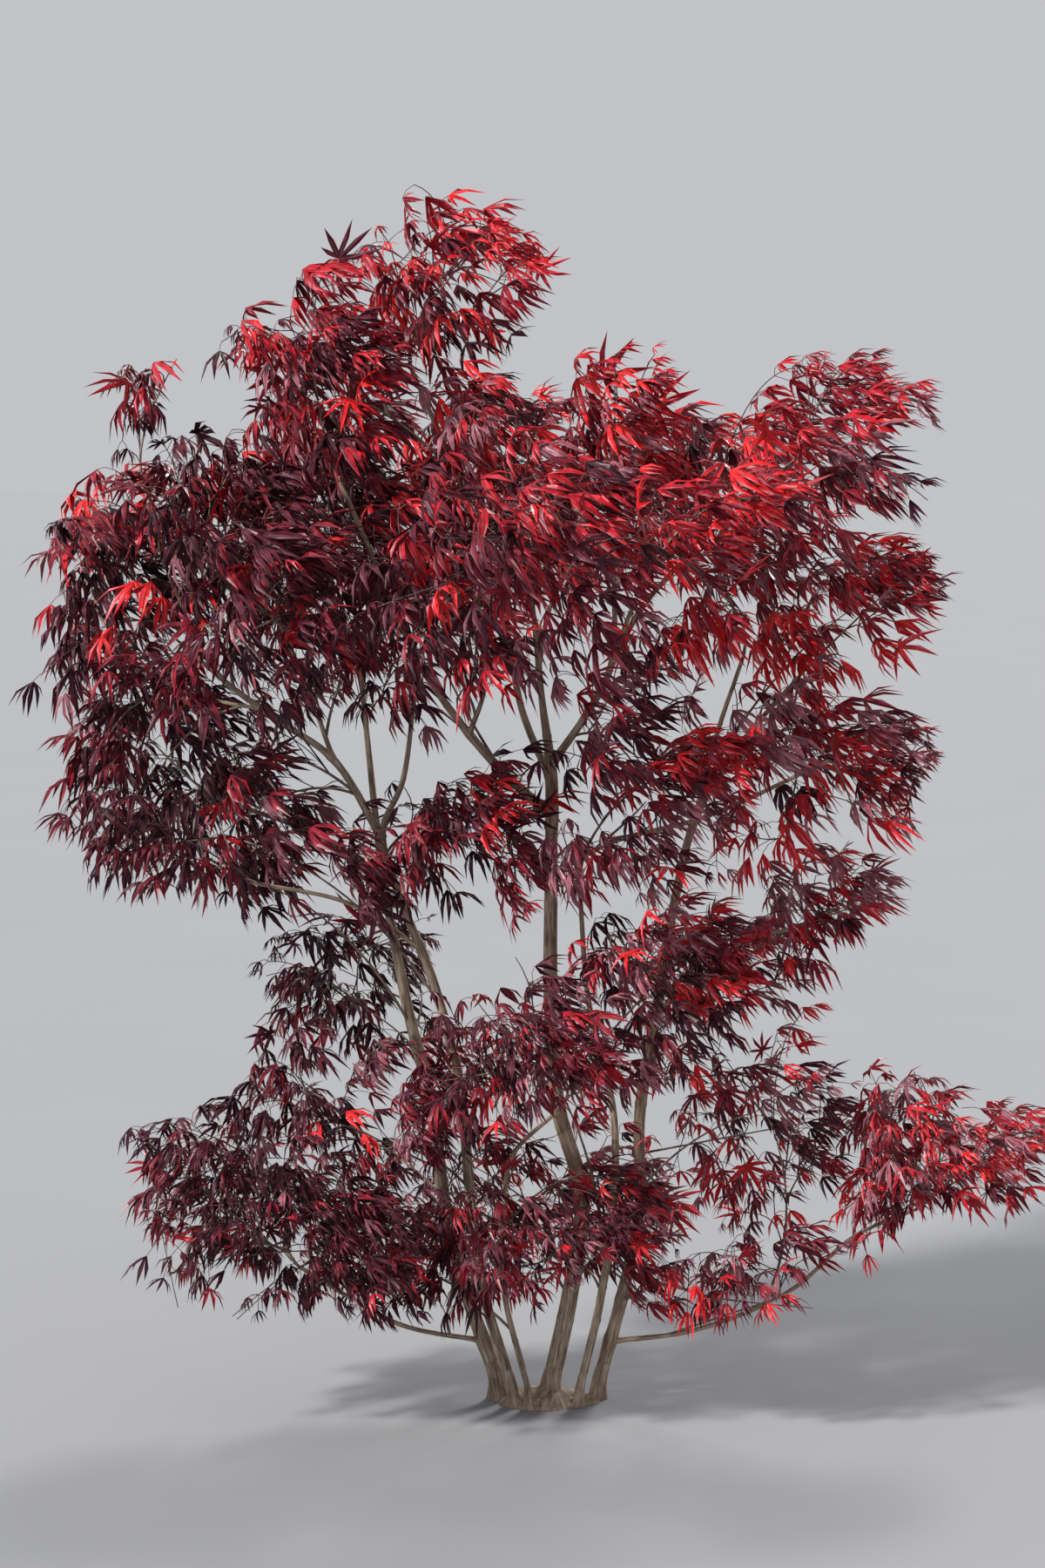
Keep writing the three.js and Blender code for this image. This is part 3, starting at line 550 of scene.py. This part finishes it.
def mound():
    """The low lumpy mound from which the feet rise."""
    ring = np.linspace(-math.pi / 2, math.pi / 2, MOUND_RINGS)[:, None]
    turns = turns_of(MOUND_SIDES)[None, :]
    lumps = 1 + 0.09 * np.sin(3 * turns + 0.6) + 0.07 * np.sin(5 * turns + 2.1)
    points = np.stack([np.cos(ring) * np.cos(turns) * lumps * MOUND_HALF[0],
                       np.cos(ring) * np.sin(turns) * lumps * MOUND_HALF[1],
                       np.sin(ring) * MOUND_HALF[2] - MOUND_SUNK + 0 * turns], axis=-1)
    return points.reshape(-1, 3), tube_faces(MOUND_RINGS, MOUND_SIDES)


def foot_grain(points, limbs):
    """Bark grain that runs down the nearest stem's foot and out over the mound."""
    tops = np.array([limbs[name].path[0][:2] for name in STEMS])
    radii = np.array([radius_at(limbs[name].girths, 0) for name in STEMS])
    rise = np.clip(points[:, 2] / FLARE_TOP, 0, 1)[:, None, None]
    away = points[:, None, :2] - tops * (FOOT_GATHER + (1 - FOOT_GATHER) * rise)
    far = norm(away, axis=2)
    nearest = np.argmin(far / radii, axis=1)
    rows = np.arange(len(points))
    round_it = unit(away[rows, nearest]) * radii[nearest][:, None]
    return np.column_stack([round_it, points[:, 2] - far[rows, nearest] + nearest])


def merge_skin(thing):
    """Makes one smooth skin of an object's overlapping surfaces."""
    remesh = thing.modifiers.new("one_skin", "REMESH")
    remesh.mode = "VOXEL"
    remesh.voxel_size = SKIN_VOXEL
    soften = thing.modifiers.new("soften", "SMOOTH")
    soften.iterations = SKIN_SMOOTHING
    bpy.context.view_layer.update()
    graph = bpy.context.evaluated_depsgraph_get()
    mesh = bpy.data.meshes.new_from_object(thing.evaluated_get(graph))
    thing.modifiers.clear()
    thing.data = mesh


def trim_at_ground(thing):
    shape = bmesh.new()
    shape.from_mesh(thing.data)
    everything = shape.verts[:] + shape.edges[:] + shape.faces[:]
    cut = bmesh.ops.bisect_plane(shape, geom=everything, plane_co=(0, 0, 0), plane_no=(0, 0, 1),
                                 clear_inner=True)
    rim = [e for e in cut["geom_cut"] if isinstance(e, bmesh.types.BMEdge)]
    bmesh.ops.holes_fill(shape, edges=rim)
    bmesh.ops.triangulate(shape, faces=shape.faces[:])
    shape.to_mesh(thing.data)
    shape.free()


def make_foot(limbs, material, rng):
    gathered = Collector()
    for name in STEMS:
        gathered.add(*stem_foot(limbs[name], rng))
    gathered.add(*mound())
    points, faces, _ = gathered.merged()
    foot = mesh_object("bark_foot", points, faces, material, True)
    merge_skin(foot)
    trim_at_ground(foot)
    places = np.empty(len(foot.data.vertices) * 3, np.float32)
    foot.data.vertices.foreach_get("co", places)
    set_vectors(foot, "grain", foot_grain(places.reshape(-1, 3), limbs))
    foot.data.shade_smooth()
    foot.data.materials.clear()
    foot.data.materials.append(material)
    return foot


# Spaces of the masses

def half_width(reach, way):
    return norm(reach * way)


def leaf_growth(point):
    """Leaves grow larger towards the top."""
    return np.interp(point[2], LEAF_HEIGHTS, LEAF_GROWTH)


def share_out_twigs(spaces):
    """Twigs and shoots for each mass, by its fullness, its size and how small its leaves are."""
    bulk = np.array([space.full * np.prod(space.reach) ** (2 / 3) / leaf_growth(space.middle) ** 2
                     for space in spaces])
    for space, part in zip(spaces, bulk / bulk.sum()):
        space.twigs = int(round(TWIGS_TOTAL * part))
        space.shoots = int(round(SHOOTS_TOTAL * part))


def walls_between(space, others):
    """The way to each other mass and how far along it the wall between them stands."""
    across, out = [], []
    for other in others:
        way = other.middle - space.middle
        apart = norm(way)
        way = way / apart
        mine = half_width(space.reach, way)
        across.append(way)
        out.append(apart * mine / (mine + half_width(other.reach, way)))
    return np.array(across), np.array(out)


def make_spaces(limbs):
    spaces = []
    for name, (on, at, middle, reach, full) in MASSES.items():
        box = np.array(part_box(name))
        spaces.append(SimpleNamespace(name=name, limb=limbs[on], at=at, full=full, box=box,
                                      middle=np.array(middle) * MM, reach=np.array(reach) * MM))
    share_out_twigs(spaces)
    boxes = np.array([space.box for space in spaces])
    crown = (boxes[:, 0].min(axis=0) - BOX_SLACK, boxes[:, 1].max(axis=0) + BOX_SLACK)
    for space in spaces:
        others = [other for other in spaces if other is not space]
        space.crown = crown
        space.others = np.array([other.middle for other in others])
        space.their_reach = np.array([other.reach for other in others])
        space.across, space.out = walls_between(space, others)
    return spaces


def within_walls(space, point, slack=0.0):
    return np.all(space.out + slack > space.across @ (point - space.middle))


def share_of_reach(space, point):
    return norm((point - space.middle) / space.reach)


def inside(box, points, slack=0.0):
    """Whether points are all in a box or no further out of it than slack."""
    low, high = box
    return np.all(points > low - slack) and np.all(points < high + slack)


def neighbours_reach(space, point):
    """Whether a neighbouring mass comes near the point too."""
    for (left, right), (low, high) in OPEN_GAPS:
        if left < point[0] < right and low < point[2] < high:
            return False
    return np.any(norm((point - space.others) / space.their_reach, axis=1) < GAP_REACH)


def allowed(space, point):
    """Whether leaves of a mass may be at a point: in its reach, or in a gap that a neighbour reaches too."""
    share = share_of_reach(space, point)
    if share < OVERHANG and inside(space.box, point, BOX_SLACK):
        return True
    return share < GAP_REACH + 0.1 and inside(space.crown, point) and neighbours_reach(space, point)


def hang_at(space, point, rng):
    """The way in which leaves hang from a point of a mass."""
    outward = unit(point - space.middle)
    shake = rng.uniform(-0.5, 0.5, 3)
    blown = np.interp(point[0], (-0.7, 0.1), (0.4, 1.0)) * np.interp(point[2], (0.3, 1.0), (0.55, 1.0))
    return unit(SWEEP * (blown, 1, 1) + OUTWARD * outward + JITTER * shake)


def share_taken(space, place, lumps):
    """Share of the places taken near a point: less towards a mass's ragged rim or far out in a gap."""
    share = share_of_reach(space, place)
    if neighbours_reach(space, place):
        return np.interp(share, (1.0, GAP_REACH), (1.0, GAP_SHARE)) if share < GAP_REACH else 0
    waves = np.sin(unit(place - space.middle) * RIM_WAVES + lumps).sum()
    rim = min(RIM_MOST, RIM + RIM_DEPTH * waves)
    return np.interp(share / rim, (THIN_FROM, 1.0), (1.0, THIN_TO)) if share < rim else 0


def twig_tips(space, rng):
    """Tips for twigs whose leaves then fill a mass evenly."""
    start = rng.uniform(0, 1, 3)
    lumps = rng.uniform(0, 2 * math.pi, 3)
    steps = np.array([EVEN_SPREAD ** -(k + 1) for k in range(3)])
    tips = []
    for k in range(int(BOX_PER_ELLIPSOID * GAP_REACH ** 3 * space.twigs)):
        place = space.middle + (2 * ((start + k * steps) % 1) - 1) * space.reach * GAP_REACH
        tip = place - hang_at(space, place, rng) * TWIG_REACH
        taken = rng.uniform() < share_taken(space, place, lumps)
        if taken and allowed(space, tip) and within_walls(space, tip) and within_walls(space, place):
            tips.append(tip)
    return tips


def shoot_tips(space, rng):
    """Tips for shoots just within a mass's furthest reach, on its upper and outer sides."""
    tips = []
    for _ in range(40 * space.shoots):
        way = unit(rng.normal(0, 1, 3) + SHOOT_LEAN)
        tip = space.middle + way * half_width(space.reach, way) * rng.uniform(0.85, 1.04)
        if len(tips) < space.shoots and within_walls(space, tip) and inside(space.box, tip, -0.02):
            tips.append(tip)
    return tips


# Twigs

class Forks:
    """Points where further twigs may leave, with the heading and the number of the twig at each."""

    def __init__(self):
        self.points, self.aheads, self.owners = [], [], []

    def add(self, points, aheads, owner):
        self.points += list(points)
        self.aheads += list(aheads)
        self.owners += [owner] * len(points)

    def towards(self, tip):
        """From each fork: the way to a tip, its length and how well the fork heads there, at best 1."""
        way = tip - np.array(self.points)
        far = norm(way, axis=1)
        return way, far, np.sum(way * np.array(self.aheads), axis=1) / np.maximum(far, 1e-9)


def new_twig(path, parent=None, shoot=False, root=0.0, tip=TWIG_TIP):
    return SimpleNamespace(path=path, parent=parent, shoot=shoot, carries=0, root=root, tip=tip)


def mass_stem(space):
    """The stem of a mass, from its limb through the middle of its space."""
    limb = space.limb
    start = point_on(limb.path, space.at)
    outward = space.middle - start
    on_tip = space.at == 1
    heading = unit(limb.path[-1] - limb.path[-2]) if on_tip else unit(outward)
    bend = start + heading * norm(outward) * 0.45
    end = space.middle + unit(outward) * half_width(space.reach, unit(outward)) * 0.45
    root = radius_at(limb.girths, 1.0) if on_tip else STEM_ROOT
    return new_twig(bezier(start, bend, end, 14), root=root, tip=BRANCH_TIP)


def side_branches(space, limbs, rng):
    """Slim branches that other limbs send into a mass, from where they pass near it."""
    branches = []
    for limb in limbs.values():
        if limb is space.limb or len(branches) == SIDE_BRANCHES:
            continue
        inner = limb.path[len(limb.path) // 6:]
        apart = norm((inner - space.middle) / space.reach, axis=1)
        nearest = int(np.argmin(apart))
        if not 0.4 < apart[nearest] < 1.4:
            continue
        start_at = max(0, nearest - int(rng.uniform(15, 85)))
        start = inner[start_at]
        heading = unit(inner[min(start_at + 3, len(inner) - 1)] - start + 1e-6)
        end = space.middle + rng.uniform(-0.35, 0.35, 3) * space.reach
        far = norm(end - start)
        bend = start + heading * 0.25 * far + (end - start) * 0.3 + UP * 0.05 * far
        branches.append(new_twig(bezier(start, bend, end, 16), root=BRANCH_ROOT, tip=BRANCH_TIP))
    return branches


def twig_path(start, ahead, tip, rng):
    """A path that first keeps its parent's heading, then arches to its tip."""
    way = tip - start
    far = norm(way)
    bend = start + ahead * 0.32 * far + UP * 0.16 * far + way * 0.22
    bend = bend + rng.uniform(-0.06, 0.06, 3) * far
    return bezier(start, bend, tip, 4 if far < 0.06 else 7)


def grow_twig(twigs, forks, tip, rng):
    """A twig to a tip, from the fork that is nearest and heads there best."""
    _, far, heading_there = forks.towards(tip)
    best = int(np.argmin(far * (1.6 - heading_there)))
    if far[best] < SHORTEST_TWIG:
        return
    path = twig_path(forks.points[best], forks.aheads[best], tip, rng)
    twigs.append(new_twig(path, forks.owners[best]))
    steps = [min(int(share * len(path)), len(path) - 1) for share in TWIG_PLACES]
    forks.add([point_on(path, share) for share in TWIG_PLACES], headings(path)[steps], len(twigs) - 1)


def grow_shoot(twigs, forks, tip):
    """A shoot that arches to a tip, from the fork that heads there best at about the right length."""
    way, far, heading_there = forks.towards(tip)
    fits = (far > SHOOT_LENGTHS[0]) & (far < SHOOT_LENGTHS[1])
    if not fits.any():
        return
    best = int(np.argmax(np.where(fits, heading_there - 2 * np.abs(far - SHOOT_LENGTH), -9)))
    point, ahead, way, far = forks.points[best], forks.aheads[best], way[best], far[best]
    arch = point + ahead * 0.3 * far + UP * 0.30 * far + way * 0.25
    twigs.append(new_twig(bezier(point, arch, tip, 9), forks.owners[best], shoot=True))


def set_girths(twigs):
    """Makes each twig as thick at its root as the number that it carries asks for."""
    for twig in reversed(twigs):
        if twig.parent is not None:
            twigs[twig.parent].carries += 1 + twig.carries
    for twig in twigs:
        if twig.parent is not None:
            twig.root = TWIG_TIP * (1 + twig.carries) ** TWIG_GROWTH * 1.25


def grow_twigs(space, limbs, rng):
    """All twigs of a mass, nearest first, in two rounds: the second fills the first with finer ones."""
    twigs = [mass_stem(space)] + side_branches(space, limbs, rng)
    forks = Forks()
    for number, twig in enumerate(twigs):
        forks.add(twig.path[3::2], headings(twig.path)[3::2], number)
    start = twigs[0].path[0]
    tips = twig_tips(space, rng)
    coarse = max(4, len(tips) // 3)
    for batch in (tips[:coarse], tips[coarse:]):
        for tip in sorted(batch, key=lambda place: norm(place - start)):
            grow_twig(twigs, forks, tip, rng)
    for tip in shoot_tips(space, rng):
        grow_shoot(twigs, forks, tip)
    set_girths(twigs)
    return twigs


# Leaves

def way_at(azimuth, tilt):
    """A way tilted off +Z towards an azimuth."""
    return np.array([math.cos(azimuth) * math.sin(tilt), math.sin(azimuth) * math.sin(tilt), math.cos(tilt)])


def lobe(first, sinuses, azimuth, length, tilt, bend, width, rng):
    """Points, marks and faces of a folded, nodding lobe, numbered from first; 0 is the leaf's heart. A mark
    gives nearness to the vein and the side of the vein, which picks the halves for painted sheen and painted
    glow.
    """
    tangent = np.array([-math.sin(azimuth), math.cos(azimuth), 0.0])
    vein = [np.zeros(3)]
    for low, high in zip(LOBE_PLACES, LOBE_PLACES[1:]):
        way = way_at(azimuth, tilt - bend * (low + high) / 2)
        vein.append(vein[-1] + way * (high - low) * length)
    inward = np.cross(tangent, way_at(azimuth, tilt - bend * LOBE_PLACES[2]))
    sway = tangent * rng.normal(0, 0.09) * length
    fold = inward * 0.5 * width
    widest = vein[2] + sway * 0.25
    points = [vein[1], widest, widest - tangent * width + fold, widest + tangent * width + fold,
              vein[3] + sway]
    marks = [(1, 0), (1, 0), (0, -1), (0, 1), (0.6, 0)]
    low, middle, left, right, tip = range(first, first + 5)
    before, after = sinuses
    faces = [(0, low, before), (0, after, low), (before, middle, left), (before, low, middle),
             (low, after, middle), (after, right, middle), (left, middle, tip), (middle, right, tip)]
    return points, marks, faces


def leaf_kind(openness, rng):
    """A leaf of unit length, hanging along +Z from the origin, its end lobe towards +X."""
    tilt = math.radians(np.interp(openness, (0, 1), LEAF_TILTS))
    bend = math.radians(np.interp(openness, (0, 1), LEAF_BENDS) + rng.normal(0, 7))
    lobes = sorted(LOBES)
    if openness < 0.3 and rng.uniform() < 0.4:
        lobes = lobes[1:-1]
    azimuths = [math.radians(azimuth + rng.normal(0, 5)) for azimuth, _ in lobes]
    sinuses = [((a + b) / 2, 0.17) for a, b in zip(azimuths, azimuths[1:])]
    sinuses = [(azimuths[0] - 0.45, 0.06)] + sinuses + [(azimuths[-1] + 0.45, 0.06)]
    points = [np.zeros(3)] + [way_at(azimuth, tilt) * reach for azimuth, reach in sinuses]
    marks = [(0.8, 0)] + [(0, 0)] * len(sinuses)
    faces = []
    for k, (azimuth, (_, length)) in enumerate(zip(azimuths, lobes)):
        length = length * rng.uniform(0.9, 1.08)
        lean = tilt + math.radians(rng.normal(0, 6))
        width = rng.uniform(0.054, 0.073) * (0.6 + 0.4 * length)
        parts = lobe(len(points), (1 + k, 2 + k), azimuth, length, lean, bend, width, rng)
        for whole, part in zip((points, marks, faces), parts):
            whole.extend(part)
    return np.array(points), np.array(faces), np.array(marks, float)


def leaf_kinds(rng):
    drooping = []
    for k in range(DROOPING_KINDS):
        openness = rng.uniform(0.0, 0.36) if k % 3 else rng.uniform(0.25, 0.58)
        drooping.append(leaf_kind(openness, rng))
    opened = [leaf_kind(rng.uniform(0.72, 1.0), rng) for _ in range(OPEN_KINDS)]
    return drooping, opened


def leaf_axes(hang, out):
    """A leaf's own X, Y and Z as rows, Z along the way it hangs, X as near as may be to out."""
    x = unit(out - hang * (out @ hang))
    return np.stack([x, np.cross(hang, x), hang])


def leaf_joints(twig, rng):
    """Joints of leaves on a twig: pairs back from its tip, and now and then a third one there."""
    path = twig.path
    total = length_of(path)
    aheads = headings(path)
    turn = rng.uniform(0, math.pi)
    back = 0.0
    for pair, growth in enumerate(SHOOT_PAIRS if twig.shoot else TWIG_PAIRS):
        if pair and back >= total - 0.02:
            return
        share = 1 - back / total
        point = point_on(path, share)
        ahead = aheads[int(share * (len(path) - 1))]
        side = np.cross(ahead, UP)
        side = unit(side) if norm(side) > 0.1 else np.array([1.0, 0.0, 0.0])
        spin = turn + pair * 1.25
        out = math.cos(spin) * side + math.sin(spin) * 0.6 * np.cross(side, ahead)
        for sign in (1, -1):
            yield point, ahead, unit(out * sign), growth
        if pair == 0 and rng.uniform() < 0.45:
            yield point, ahead, unit(ahead), growth
        back += PAIR_SPACING * rng.uniform(0.8, 1.25)


def region_brightness(point):
    """From 0 at the shaded lower left to 1 at the sunlit upper right and far left tips; the tints paint this
    light and shade.
    """
    sunlit_tips = 0.34 if point[0] < -0.66 and point[2] > 1.22 else 0.0
    height = np.interp(point[2], (0.2, 0.9, 1.35, 1.8), (0.60, 0.66, 0.80, 1.10))
    bright = float(np.clip(height + 0.80 * point[0] - 0.16 + sunlit_tips, 0, 1))
    return bright ** 2 * (3 - 2 * bright)


def tint_of(point, rng, is_open=False):
    """The name of the tint of a spray or a leaf, with painted shade, painted glow and painted sheen by how
    sunlit its region is.
    """
    bright = region_brightness(point)
    shaded, sunlit = np.array([open if is_open else drooping for _, drooping, open in TINTS.values()]).T
    weights = shaded + (sunlit - shaded) * bright
    # more crimson and scarlet, painted glow, where the region is sunlit and at the top
    weights[BRIGHT_REDS] *= 1 if is_open else bright ** 0.4
    weights[BRIGHT_REDS] *= np.interp(point[2], (1.55, 1.8), (1.0, 1.5))
    # more mauve, painted sheen, where the region is sunlit
    weights[SHEEN_TINT] += bright * np.interp(point[2], (0.9, 1.6), (0.19, 0.07))
    return list(TINTS)[rng.choice(len(TINTS), p=weights / weights.sum())]


class Crown:
    """Grows the twigs and leaves of the masses, gathered by kind and by tint."""

    def __init__(self, limbs):
        self.limbs = limbs
        self.rng = np.random.default_rng(SEED)
        self.drooping, self.opened = leaf_kinds(self.rng)
        self.bark_points = np.vstack([limb.path[::3] for limb in limbs.values()])
        self.bark_radii = np.concatenate([
            radius_at(limb.girths, np.linspace(0, 1, len(limb.path)))[::3] for limb in limbs.values()])
        self.woody, self.young, self.stalks = Collector(), Collector(), Collector()
        self.blades = {name: Collector() for name in TINTS}

    def grow(self):
        for space in make_spaces(self.limbs):
            for twig in grow_twigs(space, self.limbs, self.rng):
                self.add_twig(space, twig)

    def add_twig(self, space, twig):
        """Adds a twig with its leaves, unless it carries nothing and has room for hardly any."""
        spray = tint_of(twig.path[-1], self.rng)
        if twig.parent is not None:
            leaves = 0
            for joint in leaf_joints(twig, self.rng):
                leaves += self.add_leaf(space, joint, spray)
            if twig.carries == 0 and leaves < FEWEST_LEAVES:
                return
        points, faces = thin_tube(twig.path, twig.root, twig.tip)
        kind = self.woody if twig.root > WOODY_RADIUS else self.young
        kind.add(points, faces, node=space.name)

    def add_leaf(self, space, joint, spray):
        """Adds a leaf with its stalk, and says whether there was room for it."""
        point, ahead, out, growth = joint
        rng = self.rng
        is_open = rng.uniform() < OPEN_SHARE
        hang = hang_at(space, point, rng)
        if is_open:
            hang = unit(hang + 0.9 * rng.uniform(-1, 1, 3))
        stalk_length = rng.uniform(*STALK_LENGTHS) * (0.4 + 0.6 * growth)
        leave = unit(0.55 * ahead + 0.8 * out)
        hook = point + leave * stalk_length * 0.6
        heart = hook + unit(leave + 0.9 * hang) * stalk_length * 0.5
        size = LEAF_LENGTH * (1 + LEAF_SPREAD * rng.uniform(-1, 1)) * (growth * leaf_growth(heart))
        if not self.has_room(space, heart, hang, size):
            return False
        kinds = self.opened if is_open else self.drooping
        shape, faces, marks = kinds[rng.integers(len(kinds))]
        blade = heart + (shape * size) @ leaf_axes(hang, leave)
        if not inside(space.crown, blade, CROWN_SLACK):
            return False
        tint = tint_of(heart, rng, is_open) if is_open or rng.uniform() < ODD_SHARE else spray
        own_number = np.full((len(marks), 1), rng.uniform())
        self.blades[tint].add(blade, faces, np.hstack([marks, own_number]), space.name)
        stalk, sides = thin_tube(bezier(point, hook, heart, 3), STALK_RADIUS * 1.15, STALK_RADIUS)
        self.stalks.add(stalk, sides, node=space.name)
        return True

    def has_room(self, space, heart, hang, size):
        """Whether a leaf keeps to its mass's space, and clear of the ground and the bark."""
        end = heart + hang * size * 0.95
        if end[2] < GROUND_CLEAR:
            return False
        for point in (end, heart):
            if not (allowed(space, point) and within_walls(space, point, WALL_SLACK)):
                return False
        middle = heart + hang * size * 0.5
        clear = norm(self.bark_points - middle, axis=1) >= self.bark_radii + LIMB_CLEAR
        return np.all(clear)


# Materials

class Paint:
    """A new material and the nodes that colour it."""

    def __init__(self, name):
        self.material = bpy.data.materials.new(name)
        self.material.use_nodes = True
        self.tree = self.material.node_tree

    def node(self, kind, inputs=(), **settings):
        node = self.tree.nodes.new(kind)
        for setting, value in settings.items():
            setattr(node, setting, value)
        self.feed(node, dict(inputs))
        return node.outputs

    def feed(self, node, inputs):
        """Sets a node's inputs to values or links them to the outputs of other nodes."""
        for title, value in inputs.items():
            if isinstance(value, bpy.types.NodeSocket):
                self.tree.links.new(value, node.inputs[title])
            else:
                node.inputs[title].default_value = value

    def place(self):
        return self.node("ShaderNodeTexCoord")["Object"]

    def attribute(self, name):
        return self.node("ShaderNodeAttribute", attribute_name=name)["Vector"]

    def stretched(self, vector, scale):
        return self.node("ShaderNodeVectorMath", {0: vector, 1: scale}, operation="MULTIPLY")["Vector"]

    def noise(self, vector, scale, detail, roughness=0.55):
        inputs = {"Vector": vector, "Scale": scale, "Detail": detail, "Roughness": roughness}
        return self.node("ShaderNodeTexNoise", inputs)["Fac"]

    def ramp(self, factor, stops):
        node = self.tree.nodes.new("ShaderNodeValToRGB")
        self.feed(node, {"Fac": factor})
        elements = node.color_ramp.elements
        while len(elements) < len(stops):
            elements.new(0.5)
        for element, (place, colour) in zip(elements, stops):
            element.position = place
            element.color = (*colour, 1)
        return node.outputs["Color"]

    def mapped(self, value, low, high, top):
        """A value mapped from low..high to 0..top."""
        inputs = {"Value": value, "From Min": low, "From Max": high, "To Max": top}
        return self.node("ShaderNodeMapRange", inputs)["Result"]

    def mix(self, factor, below, above, blend="MIX"):
        inputs = {"Factor": factor, "A": below, "B": above}
        return self.node("ShaderNodeMix", inputs, data_type="RGBA", blend_type=blend)["Result"]

    def finish(self, **inputs):
        """The material, with the inputs of its shader set, whose names have _ for a space."""
        skin = self.tree.nodes["Principled BSDF"]
        self.feed(skin, {title.replace("_", " "): value for title, value in inputs.items()})
        return self.material


def bark_material():
    """Streaks along the limbs, over broader light and dark patches."""
    paint = Paint("bark")
    grain = paint.attribute("grain")
    streaks = paint.noise(paint.stretched(grain, (420, 420, 26)), 1.0, 6.0, 0.62)
    patches = paint.noise(paint.stretched(grain, (75, 75, 30)), 1.0, 4.0)
    colour = paint.mix(1.0, paint.ramp(streaks, BARK_STREAKS), paint.ramp(patches, BARK_PATCHES), "MULTIPLY")
    bump = paint.node("ShaderNodeBump", {"Height": streaks, "Strength": 0.8, "Distance": 0.0016})
    return paint.finish(Base_Color=colour, Roughness=0.78, Specular_IOR_Level=0.35, Normal=bump["Normal"])


def twig_material(name, dark, light, roughness):
    paint = Paint(name)
    tone = paint.noise(paint.place(), 34.0, 3.0)
    return paint.finish(Base_Color=paint.ramp(tone, [(0.35, dark), (0.65, light)]), Roughness=roughness)


def leaf_material(name):
    """Cloudy shades of a tint, a dull pinkish painted sheen on one half of each lobe, painted backlit glow in
    clear red on the other, and a lighter line along the vein that is partly its own colour and partly painted
    highlight.
    """
    paint = Paint("leaf_" + name)
    base = np.array(TINTS[name][0])
    cloud = paint.noise(paint.place(), 60.0, 3.0)
    colour = paint.ramp(cloud, [(0.3, base * 0.45), (0.5, base * 0.9), (0.72, base * 1.4 + 0.006)])
    marks = paint.node("ShaderNodeSeparateXYZ", {"Vector": paint.attribute("blade")})
    # side picks the half of each lobe with painted sheen and the half with painted backlit glow
    inputs = {0: marks["Z"], 1: 0.5, 2: marks["Y"]}
    side = paint.node("ShaderNodeMath", inputs, operation="MULTIPLY_ADD")["Value"]
    # painted sheen: a dull pinkish highlight on one half of each lobe
    painted_sheen = np.minimum(base * 0.9 + PAINTED_SHEEN * (0.4 + 1.6 * base[0]), 0.8)
    # painted backlit glow: clear red on the other half of each lobe
    clear = np.minimum(base * PAINTED_GLOW + np.array([0.05 + 0.25 * base[0], 0, 0]), 0.85)
    # lighter vein line: partly the vein's own colour, partly painted highlight
    vein_and_highlight = np.minimum(base * 1.4 + np.array([0.16, 0.055, 0.075]), 0.8)
    for mark, span, tone in ((side, (0.5, 1.15, 0.95), painted_sheen), (side, (0.0, -0.6, 0.85), clear),
                             (marks["X"], (0.80, 0.98, 0.7), vein_and_highlight)):
        colour = paint.mix(paint.mapped(mark, *span), colour, (*tone, 1))
    return paint.finish(Base_Color=colour, Roughness=0.33, Specular_IOR_Level=0.17)


def floor_material():
    paint = Paint("floor")
    tone = paint.noise(paint.place(), 1.5, 2.0)
    return paint.finish(Base_Color=paint.ramp(tone, FLOOR_TONES), Roughness=0.95)


# The object

def make_bark(limbs, material):
    rng = np.random.default_rng(SEED + 1)
    for name, nodes, sides in (("bark_stems", STEMS, STEM_SIDES), ("bark_boughs", BOUGHS, BOUGH_SIDES)):
        gathered = Collector()
        for node in nodes:
            gathered.add(*bark_tube(limbs[node], sides, rng))
        make_piece(name, nodes, gathered, material, "grain")
    keep(make_foot(limbs, material, rng), ["root_flare"])


def make_foliage(limbs):
    crown = Crown(limbs)
    crown.grow()
    for name, gathered in zip(TWIG_SKINS, (crown.woody, crown.young, crown.stalks)):
        make_piece(name, sorted(gathered.nodes), gathered, twig_material(*TWIG_SKINS[name]))
    for name, gathered in crown.blades.items():
        make_piece("foliage_" + name, sorted(gathered.nodes), gathered, leaf_material(name),
                   "blade", smooth=False)


# Stage

def sun_light(name, place, spread, power, colour):
    """A sun that shines from a place towards the middle of the crown."""
    light = bpy.data.lights.new(name, "SUN")
    light.angle = math.radians(spread)
    light.energy = power
    light.color = colour
    lamp = add_object(name, light)
    lamp.location = place
    way = Vector(CROWN_MIDDLE) - Vector(place)
    lamp.rotation_euler = way.to_track_quat("-Z", "Y").to_euler()


def make_stage():
    half = FLOOR_HALF
    corners = np.array([(-half, -half, 0), (half, -half, 0), (half, half, 0), (-half, half, 0)], float)
    floor = mesh_object("floor", corners, np.array([(0, 1, 2), (0, 2, 3)]), floor_material(), False)
    world = bpy.data.worlds.new("studio")
    bpy.context.scene.world = world
    world.use_nodes = True
    sky = world.node_tree.nodes["Background"]
    sky.inputs["Color"].default_value = SKY_COLOUR
    sky.inputs["Strength"].default_value = SKY_STRENGTH
    for name, settings in LIGHTS.items():
        sun_light(name, *settings)
    bpy.context.scene.view_settings.view_transform = "Standard"


def make_camera():
    lens = bpy.data.cameras.new("camera")
    lens.lens = CAMERA_LENS
    lens.sensor_width = 36
    lens.clip_end = 200
    camera = add_object("camera", lens)
    camera.location = CAMERA_PLACE
    camera.rotation_euler = (math.radians(90 - CAMERA_PITCH), 0, 0)
    bpy.context.scene.camera = camera


make_camera()
make_stage()
limbs = make_limbs()
make_bark(limbs, bark_material())
make_foliage(limbs)
